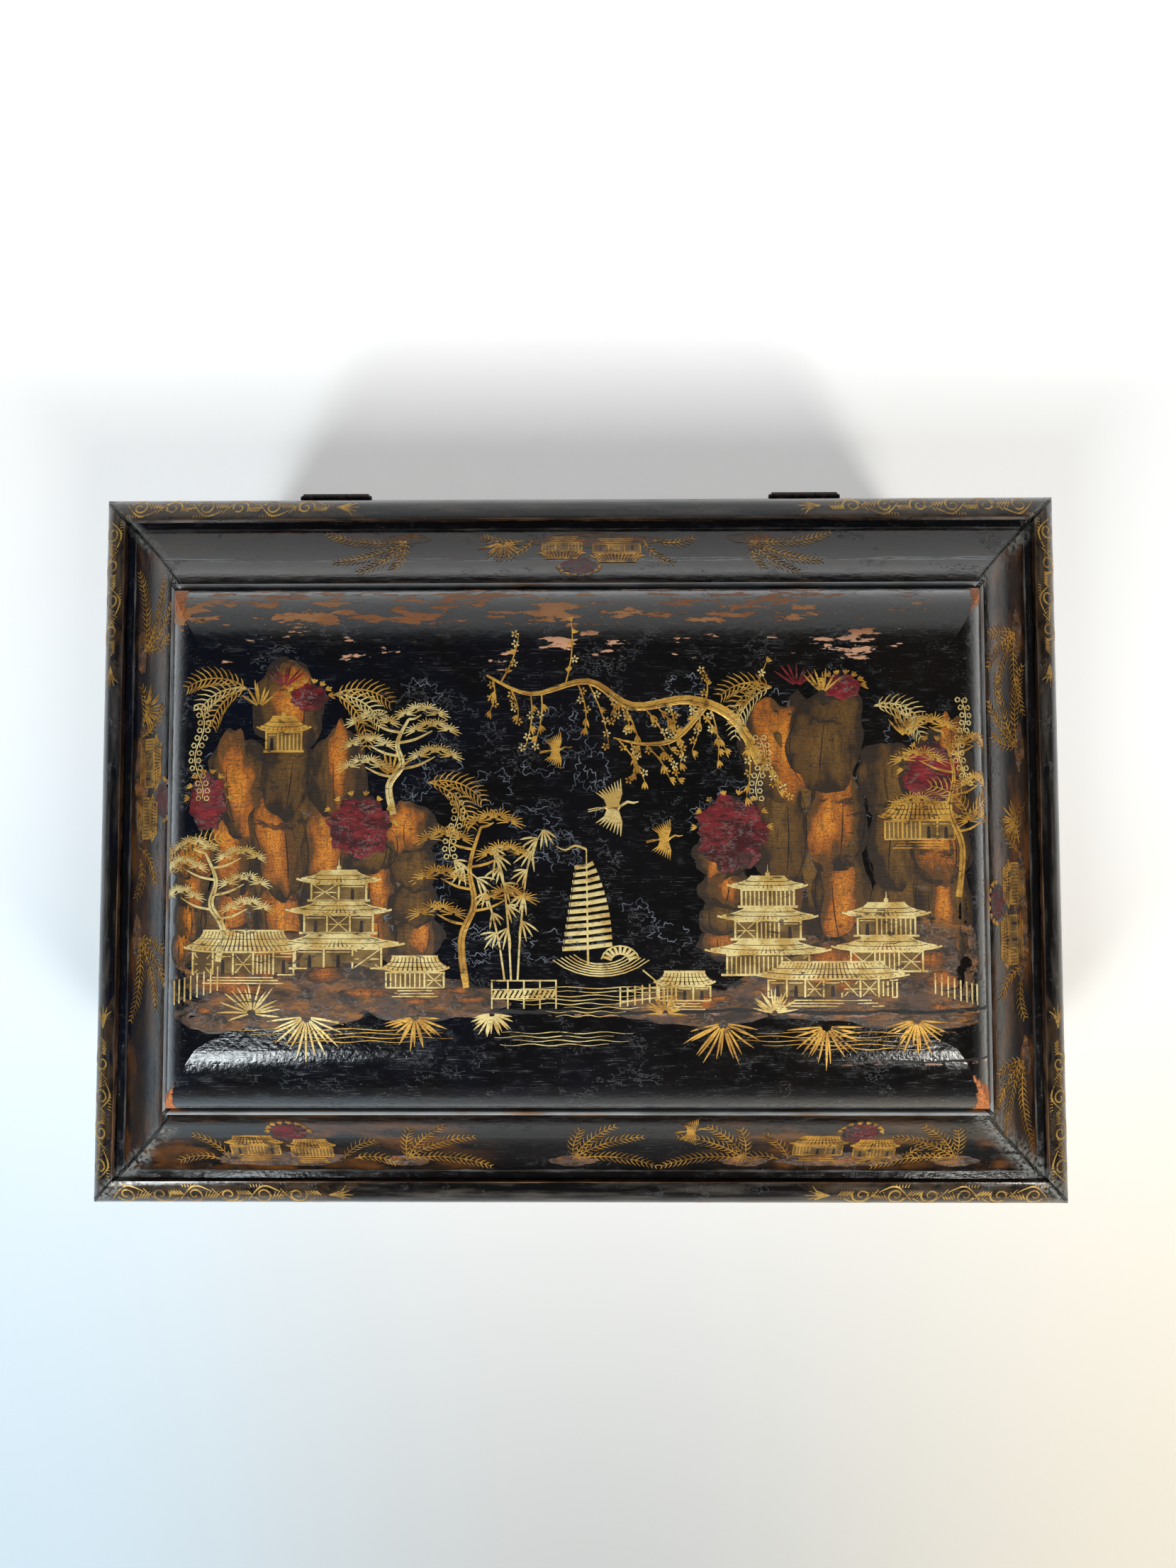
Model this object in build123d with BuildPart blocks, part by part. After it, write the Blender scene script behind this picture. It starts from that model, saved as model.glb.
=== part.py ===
from build123d import *
import math
import os

os.makedirs("parts", exist_ok=True)

# Overall sizes, in millimetres
lid_width = 360.0
lid_depth = 264.0
case_height = 108.0
lid_overhang = 8.0
wall = 13.0
bottom_thickness = 9.0
shut_gap = 0.2
mitre_gap = 0.12
lid_corner_radius = 3.0
case_corner_radius = 1.5
corner_edge = 0.06

# Case dovetails
tail_count = 3
pin_width = 7.0
tail_angle = 9.0

# Base moulding section
plinth_height = 12.0
base_step = 1.5
base_ovolo_width = 4.5
base_ovolo_height = 9.0
base_fillet_height = 2.0

# Lid edge: a straight rim, an ovolo, then a fall into a valley
rim_height = 3.0
ovolo_width = 10.2
ovolo_height = 11.1
valley_width = 3.4
valley_step = 0.4
valley_drop = 2.1

# Lid cove, which rises from the valley to the lip round the panel
cove_width = 31.2
cove_height = 38.6
cove_hollow = 5.4
lower_rail_height = 22.0
lower_rail_width = 46.0
upper_rail_inset = 58.0

# Lip round the panel, and the rebate that the panel lies in
lip_overhang = 0.8
lip_height = 3.9
lip_flat = 0.4
lip_edge_radius = 0.5
lip_width = 1.9
rebate_depth = 9.5
panel_clearance = 0.15

# Cushion panel: steep shoulders under a low crown
panel_edge_height = 6.5
shoulder_rise = 21.0
front_shoulder_width = 24.0
end_shoulder_width = 16.0
crown_rise = 2.0
block_leg = 12.0
block_length = 40.0
block_spacing = 70.0

# Butt hinges, with their knuckles outside the lid's back edge
hinge_spacing = 181.0
hinge_offset = -3.5
hinge_width = 25.0
leaf_thickness = 1.0
leaf_seat = 10.5
leaf_fit = 0.15
knuckle_radius = 1.9
knuckle_standoff = 0.25
knuckle_gap = 0.25
pin_radius = 0.85
pin_clearance = 0.05
pin_end_length = 0.9
pin_end_radius = 1.35
hinge_nail_spread = 8.0
hinge_nail_stagger = 2.2

# Nails
nail_shank_radius = 0.9
nail_tip_radius = 0.25
nail_head_radius = 2.1
nail_head_height = 0.6
nail_edge_distance = 6.5
bottom_nail_bite = 15.0
bottom_nail_long_count = 4
bottom_nail_short_count = 2
rail_nail_bite = 8.0
rail_nail_long_count = 4
rail_nail_short_count = 3
hinge_nail_length = 8.0
small_head_radius = 1.5
small_head_height = 0.45
small_shank_radius = 0.65
small_nail_length = 6.0
brad_radius = 0.6
brad_length = 17.0
brad_long_count = 5
brad_short_count = 3

# Box lock, let into the inside of the front board
lock_width = 60.0
lock_height = 45.0
lock_plate_thickness = 1.5
lock_flange_depth = 10.5
lock_margin = 5.5
lock_pocket_depth = 10.5
lock_fit = 0.15
lock_nail_inset = 2.8
bolt_travel = 5.5
bolt_thickness = 3.0
bolt_standoff = 2.1
bolt_length = 38.0
bolt_height = 8.0
bolt_end_gap = 1.5
bolt_end_width = 2.4
bolt_top_depth = 12.0
finger_width = 3.5
finger_height = 3.4
finger_gap = 0.8
staple_spacing = 24.0
staple_thickness = 2.4
staple_bar = 1.3
staple_clearance = 0.35
staple_floor = 1.7
slot_clearance = 0.6
stud_radius = 1.5
stud_head_radius = 2.6
stud_head_height = 0.8
stud_spacing = 22.0
stud_offset = 0.6
stud_clearance = 0.1
spring_thickness = 0.6
spring_width = 2.4
spring_span = 11.0
spring_gap = 1.5
spring_touch = 0.2
spring_arch = 1.6
spring_post_width = 1.6
key_depth = 29.0
key_pin_radius = 1.1
keyhole_radius = 2.5
keyhole_slot_width = 2.4
keyhole_slot_length = 8.5
notch_depth = 3.0
notch_width = 6.5
link_plate_width = 44.0
link_plate_depth = 10.0
link_plate_thickness = 1.2

# Escutcheon on the front
escutcheon_width = 26.0
escutcheon_height = 34.0
escutcheon_thickness = 1.0
escutcheon_lobe = 5.0
escutcheon_soft = 1.0
escutcheon_pin_radius = 0.5
escutcheon_pin_head = 1.0

# Places that follow from the sizes
case_width = lid_width - 2 * lid_overhang
case_depth = lid_depth - 2 * lid_overhang
inner_width = case_width - 2 * wall
inner_depth = case_depth - 2 * wall
front_face = -case_depth / 2
front_inside = front_face + wall
lid_underside = case_height + shut_gap
valley_inset = ovolo_width + valley_width
valley_level = rim_height + ovolo_height - valley_drop
cove_top_inset = valley_inset + cove_width
cove_top_level = valley_level + cove_height
lip_inset = cove_top_inset - lip_overhang
lip_level = cove_top_level + lip_height
rebate_inset = lip_inset + lip_width
shelf_level = lip_level - rebate_depth
panel_inset = rebate_inset + panel_clearance
panel_level = lid_underside + shelf_level
hinge_axis_y = lid_depth / 2 + knuckle_standoff + knuckle_radius
hinge_axis_z = case_height + shut_gap / 2
SIDES = {"front": (0, -1), "right": (1, 0), "back": (0, 1), "left": (-1, 0)}
HINGES = {"left": hinge_offset - hinge_spacing / 2, "right": hinge_offset + hinge_spacing / 2}


def save(builder, label):
    """Names a finished piece and writes it."""
    builder.part.label = label
    export_step(builder.part, f"parts/{label}.step")


def edge_plane(side, width, depth, height):
    """Section plane in the middle of one side: x runs inward from the outer edge, y runs up."""
    out_x, out_y = SIDES[side]
    return Plane(
        origin=(out_x * width / 2, out_y * depth / 2, height),
        x_dir=(-out_x, -out_y, 0),
        z_dir=(-out_y, out_x, 0),
    )


def side_length(side, width, depth):
    """Length of a moulding along its outer edge."""
    return width if side in ("front", "back") else depth


def round_corners(width, depth, radius, low, height):
    """Rounds the upright outer corners of the piece being built, with a faint edge where they start."""
    with BuildSketch(Plane.XY.offset(low)) as outline:
        RectangleRounded(width + corner_edge, depth + corner_edge, radius)
    extrude(outline.sketch, amount=height, mode=Mode.INTERSECT)


def cut_mitres(side, width, depth):
    """Cuts both ends of the moulding being built at 45 degrees, with a hair of a gap left."""
    out_x, out_y = SIDES[side]
    half = side_length(side, width, depth) / 2 - mitre_gap
    for end in (1, -1):
        along = Vector(-out_y, out_x, 0) * end
        corner = Vector(out_x * width / 2, out_y * depth / 2, 0) + along * half
        split(bisect_by=Plane(origin=corner, z_dir=along - Vector(out_x, out_y, 0)), keep=Keep.BOTTOM)


def nail_shape(length, shank, head_radius, head_height):
    """A forged nail that stands point up, with its head's outer face at the origin."""
    with BuildPart() as nail:
        with BuildSketch(Plane.XZ):
            with BuildLine():
                Polyline(
                    (0, 0),
                    (head_radius, 0),
                    (shank, head_height),
                    (nail_tip_radius, length),
                    (0, length),
                    close=True,
                )
            make_face()
        revolve(axis=Axis.Z)
    return nail.part


def spread(count, span):
    """Places of a row of nails, centred on zero."""
    return [span * ((i + 0.5) / count - 0.5) for i in range(count)]


def frame_section(low, high, inner):
    """Lid frame section between two levels, out to an inner face: rim, ovolo, valley, cove and lip."""
    turn = math.radians(45)
    lip_crest = lip_inset + lip_edge_radius + lip_flat
    with BuildSketch() as section:
        with BuildLine():
            Polyline((0, rim_height), (0, 0), (upper_rail_inset, 0), (upper_rail_inset, shelf_level),
                     (rebate_inset, shelf_level), (rebate_inset, cove_top_level))
            ThreePointArc(
                (0, rim_height),
                (ovolo_width * (1 - math.cos(turn)), rim_height + ovolo_height * math.sin(turn)),
                (ovolo_width, rim_height + ovolo_height),
            )
            Polyline((ovolo_width, rim_height + ovolo_height), (ovolo_width + valley_step, valley_level),
                     (valley_inset, valley_level))
            SagittaArc((valley_inset, valley_level), (cove_top_inset, cove_top_level), -cove_hollow)
            Line((cove_top_inset, cove_top_level), (lip_inset, cove_top_level))
            Line((lip_inset, cove_top_level), (lip_inset, lip_level - lip_edge_radius))
            RadiusArc((lip_inset, lip_level - lip_edge_radius), (lip_inset + lip_edge_radius, lip_level),
                      lip_edge_radius)
            Line((lip_inset + lip_edge_radius, lip_level), (lip_crest, lip_level))
            EllipticalCenterArc(
                (lip_crest, cove_top_level),
                rebate_inset - lip_crest,
                lip_level - cove_top_level,
                start_angle=0,
                arc_size=90,
            )
        make_face()
        with Locations((inner / 2, (low + high) / 2)):
            Rectangle(inner, high - low, mode=Mode.INTERSECT)
    return section.sketch


# Nails that other pieces are cut for
with BuildPart() as bottom_nails:
    long_x = spread(bottom_nail_long_count, inner_width)
    short_y = spread(bottom_nail_short_count, inner_depth)
    wall_line_x = case_width / 2 - nail_edge_distance
    wall_line_y = case_depth / 2 - nail_edge_distance
    with Locations(*[(x, s * wall_line_y) for x in long_x for s in (-1, 1)],
                   *[(s * wall_line_x, y) for y in short_y for s in (-1, 1)]):
        add(nail_shape(bottom_thickness + bottom_nail_bite, nail_shank_radius, nail_head_radius, nail_head_height))
save(bottom_nails, "bottom_nails")

with BuildPart() as lid_rail_nails:
    nail_inset = lower_rail_width - nail_edge_distance
    rail_line_x = lid_width / 2 - nail_inset
    rail_line_y = lid_depth / 2 - nail_inset
    with Locations(*[(x, s * rail_line_y, lid_underside)
                     for x in spread(rail_nail_long_count, 2 * rail_line_x) for s in (-1, 1)],
                   *[(s * rail_line_x, y, lid_underside)
                     for y in spread(rail_nail_short_count, 2 * rail_line_y) for s in (-1, 1)]):
        add(nail_shape(lower_rail_height + rail_nail_bite, nail_shank_radius, nail_head_radius, nail_head_height))
save(lid_rail_nails, "lid_rail_nails")

with BuildPart() as base_moulding_brads:
    brad_level = (bottom_thickness + plinth_height) / 2
    brads_front = [(x, s * lid_depth / 2, brad_level)
                   for x in spread(brad_long_count, inner_width) for s in (-1, 1)]
    brads_end = [(s * lid_width / 2, y, brad_level)
                 for y in spread(brad_short_count, inner_depth) for s in (-1, 1)]
    for x, y, z in brads_front:
        inward = (0, -math.copysign(1, y), 0)
        with Locations(Plane(origin=(x, y, z), z_dir=inward)):
            Cylinder(brad_radius, brad_length, align=(Align.CENTER, Align.CENTER, Align.MIN))
    for x, y, z in brads_end:
        inward = (-math.copysign(1, x), 0, 0)
        with Locations(Plane(origin=(x, y, z), z_dir=inward)):
            Cylinder(brad_radius, brad_length, align=(Align.CENTER, Align.CENTER, Align.MIN))
save(base_moulding_brads, "base_moulding_brads")

# Bottom board, nailed up into the walls
with BuildPart() as bottom_board:
    Box(case_width, case_depth, bottom_thickness, align=(Align.CENTER, Align.CENTER, Align.MIN))
    add(bottom_nails.part, mode=Mode.SUBTRACT)
    add(base_moulding_brads.part, mode=Mode.SUBTRACT)
save(bottom_board, "bottom_board")


# Hinges
hinge_leaf_inner = inner_depth / 2 + (wall - leaf_seat)
leaf_width = hinge_width + 2 * leaf_fit


def knuckle_spans(which):
    """Start and length along the hinge of the knuckles that belong to one leaf."""
    third = hinge_width / 3
    if which == "lid":
        return [(-third / 2 + knuckle_gap / 2, third - knuckle_gap)]
    return [(-hinge_width / 2, third - knuckle_gap / 2), (third / 2 + knuckle_gap / 2, third - knuckle_gap / 2)]


def nail_places(hinge_x):
    """Three staggered nails of one hinge leaf."""
    middle = hinge_leaf_inner + leaf_seat / 2
    return [(hinge_x + i * hinge_nail_spread, middle + (hinge_nail_stagger if i == 0 else -hinge_nail_stagger) / 2)
            for i in (-1, 0, 1)]


def hinge_leaf(hinge_x, which):
    """One rolled leaf: a flat plate whose edge is curled round the pin into knuckles."""
    level = lid_underside if which == "lid" else case_height - leaf_thickness
    other = "case" if which == "lid" else "lid"
    with BuildPart() as leaf:
        with Locations((hinge_x, hinge_leaf_inner, level)):
            Box(hinge_width, hinge_axis_y - hinge_leaf_inner, leaf_thickness,
                align=(Align.CENTER, Align.MIN, Align.MIN))
        for start, length in knuckle_spans(other):
            with Locations((hinge_x + start - knuckle_gap, hinge_axis_y - knuckle_radius - knuckle_gap, level)):
                Box(length + 2 * knuckle_gap, 3 * knuckle_radius, leaf_thickness,
                    align=(Align.MIN, Align.MIN, Align.MIN), mode=Mode.SUBTRACT)
        for start, length in knuckle_spans(which):
            with BuildSketch(Plane.YZ.offset(hinge_x + start)):
                with Locations((hinge_axis_y, hinge_axis_z)):
                    Circle(knuckle_radius)
            extrude(amount=length)
        with BuildSketch(Plane.YZ.offset(hinge_x - hinge_width)):
            with Locations((hinge_axis_y, hinge_axis_z)):
                Circle(pin_radius + pin_clearance)
        extrude(amount=2 * hinge_width, mode=Mode.SUBTRACT)
        add(hinge_nails[which], mode=Mode.SUBTRACT)
    return leaf


small_nail = nail_shape(hinge_nail_length, small_shank_radius, small_head_radius, small_head_height)
hinge_nails = {}
with BuildPart() as hinge_nails_lid:
    with Locations(*[(x, y, lid_underside) for h in HINGES.values() for x, y in nail_places(h)]):
        add(small_nail)
hinge_nails["lid"] = hinge_nails_lid.part
save(hinge_nails_lid, "hinge_nails_lid")

with BuildPart() as hinge_nails_case:
    with Locations(*[Location((x, y, case_height), (180, 0, 0)) for h in HINGES.values() for x, y in nail_places(h)]):
        add(small_nail)
hinge_nails["case"] = hinge_nails_case.part
save(hinge_nails_case, "hinge_nails_case")

for name, hinge_x in HINGES.items():
    save(hinge_leaf(hinge_x, "case"), f"hinge_leaf_case_{name}")
    save(hinge_leaf(hinge_x, "lid"), f"hinge_leaf_lid_{name}")
    with BuildPart() as hinge_pin:
        with BuildSketch(Plane.YZ.offset(hinge_x - hinge_width / 2 - knuckle_gap)):
            with Locations((hinge_axis_y, hinge_axis_z)):
                Circle(pin_radius)
        extrude(amount=hinge_width + 2 * knuckle_gap)
        for end in (1, -1):
            with BuildSketch(Plane.YZ.offset(hinge_x + end * (hinge_width / 2 + knuckle_gap))):
                with Locations((hinge_axis_y, hinge_axis_z)):
                    Circle(pin_end_radius)
            extrude(amount=end * pin_end_length, taper=20)
    save(hinge_pin, f"hinge_pin_{name}")

# Lock places, measured from the rim of the front board
plate_back = front_inside - lock_plate_thickness
bolt_back = plate_back - bolt_standoff
bolt_front = bolt_back - bolt_thickness
bolt_top = case_height - bolt_top_depth
bolt_bottom = bolt_top - bolt_height
finger_top = case_height - lock_plate_thickness - finger_gap - staple_floor / 2
finger_bottom = finger_top - finger_height
staple_hole_top = finger_top + staple_clearance
staple_hole_bottom = finger_bottom - staple_clearance
staple_bottom = staple_hole_bottom - staple_floor
staple_front = bolt_front - staple_clearance - staple_bar
staple_back = bolt_back + staple_clearance + staple_bar
staple_middle = (staple_front + staple_back) / 2
pocket_width = lock_width - 2 * lock_margin
pocket_front = front_face + wall - lock_pocket_depth
pocket_bottom = case_height - lock_height + lock_margin
key_level = case_height - key_depth
bolt_left = bolt_end_gap - pocket_width / 2
finger_reach = bolt_travel
stud_left = bolt_left + bolt_end_width + bolt_travel + stud_radius + stud_clearance
stud_places = [stud_left, stud_left + stud_spacing]
stud_level = (bolt_top + bolt_bottom) / 2 + stud_offset
staple_places = [-staple_spacing / 2, staple_spacing / 2]
lock_nail_places = [(s * (lock_width / 2 - lock_nail_inset), z)
                    for s in (-1, 1)
                    for z in (case_height - lock_height + lock_nail_inset, case_height - lock_height / 3)]
lock_nail = nail_shape(small_nail_length, small_shank_radius, small_head_radius, small_head_height)

with BuildPart() as lock_nails:
    with Locations(*[Location((x, front_inside, z), (90, 0, 0)) for x, z in lock_nail_places]):
        add(lock_nail)
save(lock_nails, "lock_nails")


with BuildSketch() as keyhole:
    with Locations((0, key_level)):
        Circle(keyhole_radius)
        Rectangle(keyhole_slot_width, keyhole_slot_length, align=(Align.CENTER, Align.MAX))

# Lock plate: the face plate and the flange that lies in the rim
with BuildPart() as lock_plate:
    with Locations((0, plate_back, case_height)):
        Box(lock_width, lock_plate_thickness, lock_height, align=(Align.CENTER, Align.MIN, Align.MAX))
    with Locations((0, front_inside, case_height)):
        Box(lock_width, lock_flange_depth, lock_plate_thickness, align=(Align.CENTER, Align.MAX, Align.MAX))
    with Locations(*[(x, staple_middle, case_height) for x in staple_places]):
        Box(staple_thickness + 2 * slot_clearance, staple_back - staple_front + 2 * slot_clearance,
            lock_plate_thickness, align=(Align.CENTER, Align.CENTER, Align.MAX), mode=Mode.SUBTRACT)
    add(lock_nails.part, mode=Mode.SUBTRACT)
save(lock_plate, "lock_plate")

with BuildPart() as lock_guide_studs:
    with BuildSketch(Plane.XZ.offset(-plate_back)):
        with Locations(*[(x, stud_level) for x in stud_places]):
            Circle(stud_radius)
    extrude(amount=plate_back - bolt_front + stud_clearance)
    with BuildSketch(Plane.XZ.offset(-bolt_front + stud_clearance)):
        with Locations(*[(x, stud_level) for x in stud_places]):
            Circle(stud_head_radius)
    extrude(amount=stud_head_height)
save(lock_guide_studs, "lock_guide_studs")

with BuildPart() as lock_key_pin:
    with BuildSketch(Plane.XZ.offset(-plate_back)):
        with Locations((0, key_level)):
            Circle(key_pin_radius)
    extrude(amount=plate_back - pocket_front - lock_plate_thickness)
save(lock_key_pin, "lock_key_pin")

# Bolt: a flat bar that slides on the studs, with two hooked fingers and a notch for the key
with BuildPart() as lock_bolt:
    with BuildSketch(Plane.XZ.offset(-bolt_back)):
        with Locations((bolt_left, bolt_bottom)):
            Rectangle(bolt_length, bolt_height, align=(Align.MIN, Align.MIN))
        for x in staple_places:
            tip = x - staple_thickness / 2 - finger_gap
            with Locations((tip - finger_reach, bolt_top)):
                Rectangle(finger_width, finger_top - bolt_top, align=(Align.MAX, Align.MIN))
            with Locations((tip, finger_bottom)):
                Rectangle(finger_reach + finger_width, finger_height, align=(Align.MAX, Align.MIN))
        for x in stud_places:
            hole = stud_radius + stud_clearance
            with Locations((x - bolt_travel / 2, stud_level)):
                SlotOverall(bolt_travel + 2 * hole, 2 * hole, mode=Mode.SUBTRACT)
        with Locations((-bolt_travel / 2, bolt_bottom)):
            Rectangle(notch_width, notch_depth, align=(Align.CENTER, Align.MIN), mode=Mode.SUBTRACT)
    extrude(amount=bolt_thickness)
save(lock_bolt, "lock_bolt")

# Leaf spring that rubs on the bolt's top edge, on its post
with BuildPart() as lock_spring:
    finger_stop = staple_places[0] - staple_thickness / 2 - finger_gap - finger_reach
    spring_end = finger_stop + bolt_travel + spring_gap
    touch = bolt_top + spring_touch
    with BuildSketch(Plane.XZ.offset(-bolt_back)):
        with BuildLine():
            outer = ThreePointArc((spring_end, touch + spring_arch), (spring_end + spring_span / 2, touch),
                                  (spring_end + spring_span, touch + spring_arch))
            inner = ThreePointArc((spring_end, touch + spring_arch + spring_thickness),
                                  (spring_end + spring_span / 2, touch + spring_thickness),
                                  (spring_end + spring_span, touch + spring_arch + spring_thickness))
            Line(outer @ 0, inner @ 0)
            Line(outer @ 1, inner @ 1)
        make_face()
    extrude(amount=spring_width)
    with BuildSketch(Plane.XZ.offset(-plate_back)):
        with Locations((spring_end + spring_span, touch + spring_arch)):
            Rectangle(spring_post_width, spring_post_width, align=(Align.MAX, Align.MIN))
    extrude(amount=plate_back - bolt_back + spring_width)
save(lock_spring, "lock_spring")

# Link plate under the lid's front rail, with two staples that drop into the lock
link_nail_places = [(s * (link_plate_width / 2 - lock_nail_inset), staple_middle, lid_underside) for s in (-1, 1)]
with BuildPart() as link_plate_nails:
    with Locations(*link_nail_places):
        add(small_nail)
save(link_plate_nails, "link_plate_nails")

with BuildPart() as link_plate:
    with Locations((0, staple_middle, lid_underside)):
        Box(link_plate_width, link_plate_depth, link_plate_thickness, align=(Align.CENTER, Align.CENTER, Align.MIN))
    for x in staple_places:
        with BuildSketch(Plane.YZ.offset(x - staple_thickness / 2)):
            with Locations((staple_middle, staple_bottom)):
                Rectangle(staple_back - staple_front, lid_underside - staple_bottom, align=(Align.CENTER, Align.MIN))
            with Locations((staple_middle, staple_hole_bottom)):
                Rectangle(bolt_thickness + 2 * staple_clearance, staple_hole_top - staple_hole_bottom,
                          align=(Align.CENTER, Align.MIN), mode=Mode.SUBTRACT)
        extrude(amount=staple_thickness)
    add(link_plate_nails.part, mode=Mode.SUBTRACT)
save(link_plate, "link_plate")

# Escutcheon: a lobed plate with a keyhole, pinned to the front
escutcheon_pin_places = [(s * (escutcheon_width / 2 - escutcheon_lobe / 2), key_level + t * (escutcheon_height / 4))
                         for s in (-1, 1) for t in (-1, 1)]
with BuildPart() as escutcheon_pins:
    with BuildSketch(Plane.XZ.offset(-front_face + escutcheon_thickness)):
        with Locations(*escutcheon_pin_places):
            Circle(escutcheon_pin_head)
    extrude(amount=escutcheon_pin_radius)
    with BuildSketch(Plane.XZ.offset(-front_face + escutcheon_thickness)):
        with Locations(*escutcheon_pin_places):
            Circle(escutcheon_pin_radius)
    extrude(amount=-small_nail_length / 2)
save(escutcheon_pins, "escutcheon_pins")

with BuildPart() as escutcheon:
    with BuildSketch(Plane.XZ.offset(-front_face)):
        with Locations((0, key_level)):
            Ellipse(escutcheon_width / 2 - escutcheon_lobe / 2, escutcheon_height / 2 - escutcheon_lobe / 2)
        with Locations(*escutcheon_pin_places):
            Circle(escutcheon_lobe)
        with Locations(*[(0, key_level + s * (escutcheon_height / 2 - escutcheon_lobe)) for s in (-1, 1)]):
            Circle(escutcheon_lobe)
        fillet(vertices(), radius=escutcheon_soft)
    extrude(amount=escutcheon_thickness)
    with BuildSketch(Plane.XZ.offset(-front_face)):
        add(keyhole.sketch)
    extrude(amount=escutcheon_thickness, mode=Mode.SUBTRACT)
    add(escutcheon_pins.part, mode=Mode.SUBTRACT)
save(escutcheon, "escutcheon")


# Outline shared by the front and back boards, with dovetails at both ends
wall_height = case_height - bottom_thickness
tail_pitch = wall_height / tail_count
tail_half_end = (tail_pitch - pin_width) / 2
tail_half_base = tail_half_end - wall * math.tan(math.radians(tail_angle))
with BuildSketch() as tailed_outline:
    with Locations((0, bottom_thickness)):
        Rectangle(inner_width, wall_height, align=(Align.CENTER, Align.MIN))
    with Locations(*[(0, bottom_thickness + tail_pitch * (i + 0.5)) for i in range(tail_count)]):
        for end in (-1, 1):
            base_x = end * inner_width / 2
            end_x = end * case_width / 2
            Polygon((base_x, -tail_half_base), (end_x, -tail_half_end), (end_x, tail_half_end),
                    (base_x, tail_half_base), align=None)

# Front board, with the pocket for the lock and the keyhole
with BuildPart() as front_blank:
    with BuildSketch(Plane.XZ.offset(-front_inside)):
        add(tailed_outline.sketch)
    extrude(amount=wall)
    round_corners(case_width, case_depth, case_corner_radius, bottom_thickness, wall_height)

with BuildPart() as front_board:
    add(front_blank.part)
    with Locations((0, front_inside, case_height)):
        Box(lock_width + 2 * lock_fit, lock_plate_thickness, lock_height + lock_fit,
            align=(Align.CENTER, Align.MAX, Align.MAX), mode=Mode.SUBTRACT)
        Box(lock_width + 2 * lock_fit, lock_flange_depth + lock_fit, lock_plate_thickness,
            align=(Align.CENTER, Align.MAX, Align.MAX), mode=Mode.SUBTRACT)
    with Locations((0, front_inside, pocket_bottom)):
        Box(pocket_width, lock_pocket_depth, case_height - pocket_bottom,
            align=(Align.CENTER, Align.MAX, Align.MIN), mode=Mode.SUBTRACT)
    with BuildSketch(Plane.XZ.offset(-front_face)):
        add(keyhole.sketch)
    extrude(amount=-wall, mode=Mode.SUBTRACT)
    for nails in (bottom_nails, lock_nails, escutcheon_pins, base_moulding_brads):
        add(nails.part, mode=Mode.SUBTRACT)
save(front_board, "front_board")

# Back board, with seats for the hinge leaves in its top edge
with BuildPart() as back_blank:
    with BuildSketch(Plane.XZ.offset(-case_depth / 2)):
        add(tailed_outline.sketch)
    extrude(amount=wall)
    round_corners(case_width, case_depth, case_corner_radius, bottom_thickness, wall_height)

with BuildPart() as back_board:
    add(back_blank.part)
    with Locations(*[(x, hinge_leaf_inner - leaf_fit, case_height) for x in HINGES.values()]):
        Box(leaf_width, wall, leaf_thickness, align=(Align.CENTER, Align.MIN, Align.MAX), mode=Mode.SUBTRACT)
    for nails in (bottom_nails, hinge_nails_case, base_moulding_brads):
        add(nails.part, mode=Mode.SUBTRACT)
save(back_board, "back_board")

# End boards, whose pins fill the spaces between the tails
for name, sign in (("left", -1), ("right", 1)):
    with BuildPart() as end_board:
        with Locations((sign * (case_width - wall) / 2, 0, bottom_thickness)):
            Box(wall, case_depth, wall_height, align=(Align.CENTER, Align.CENTER, Align.MIN))
        round_corners(case_width, case_depth, case_corner_radius, bottom_thickness, wall_height)
        for other in (front_blank, back_blank, bottom_nails, base_moulding_brads):
            add(other.part, mode=Mode.SUBTRACT)
    save(end_board, f"{name}_end_board")

# Base mouldings, mitred round the foot of the case
for side in SIDES:
    with BuildPart() as base_moulding:
        with BuildSketch(edge_plane(side, lid_width, lid_depth, 0)):
            step_top = plinth_height + base_ovolo_height
            turn = math.radians(45)
            with BuildLine():
                Polyline((base_step, plinth_height), (0, plinth_height), (0, 0), (lid_overhang, 0),
                         (lid_overhang, step_top + base_fillet_height),
                         (base_step + base_ovolo_width, step_top + base_fillet_height),
                         (base_step + base_ovolo_width, step_top))
                ThreePointArc(
                    (base_step, plinth_height),
                    (base_step + base_ovolo_width * (1 - math.cos(turn)),
                     plinth_height + base_ovolo_height * math.sin(turn)),
                    (base_step + base_ovolo_width, step_top),
                )
            make_face()
        extrude(amount=side_length(side, lid_width, lid_depth) / 2, both=True)
        round_corners(lid_width, lid_depth, lid_corner_radius, 0, step_top + base_fillet_height)
        cut_mitres(side, lid_width, lid_depth)
        add(base_moulding_brads.part, mode=Mode.SUBTRACT)
    save(base_moulding, f"base_moulding_{side}")

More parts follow.
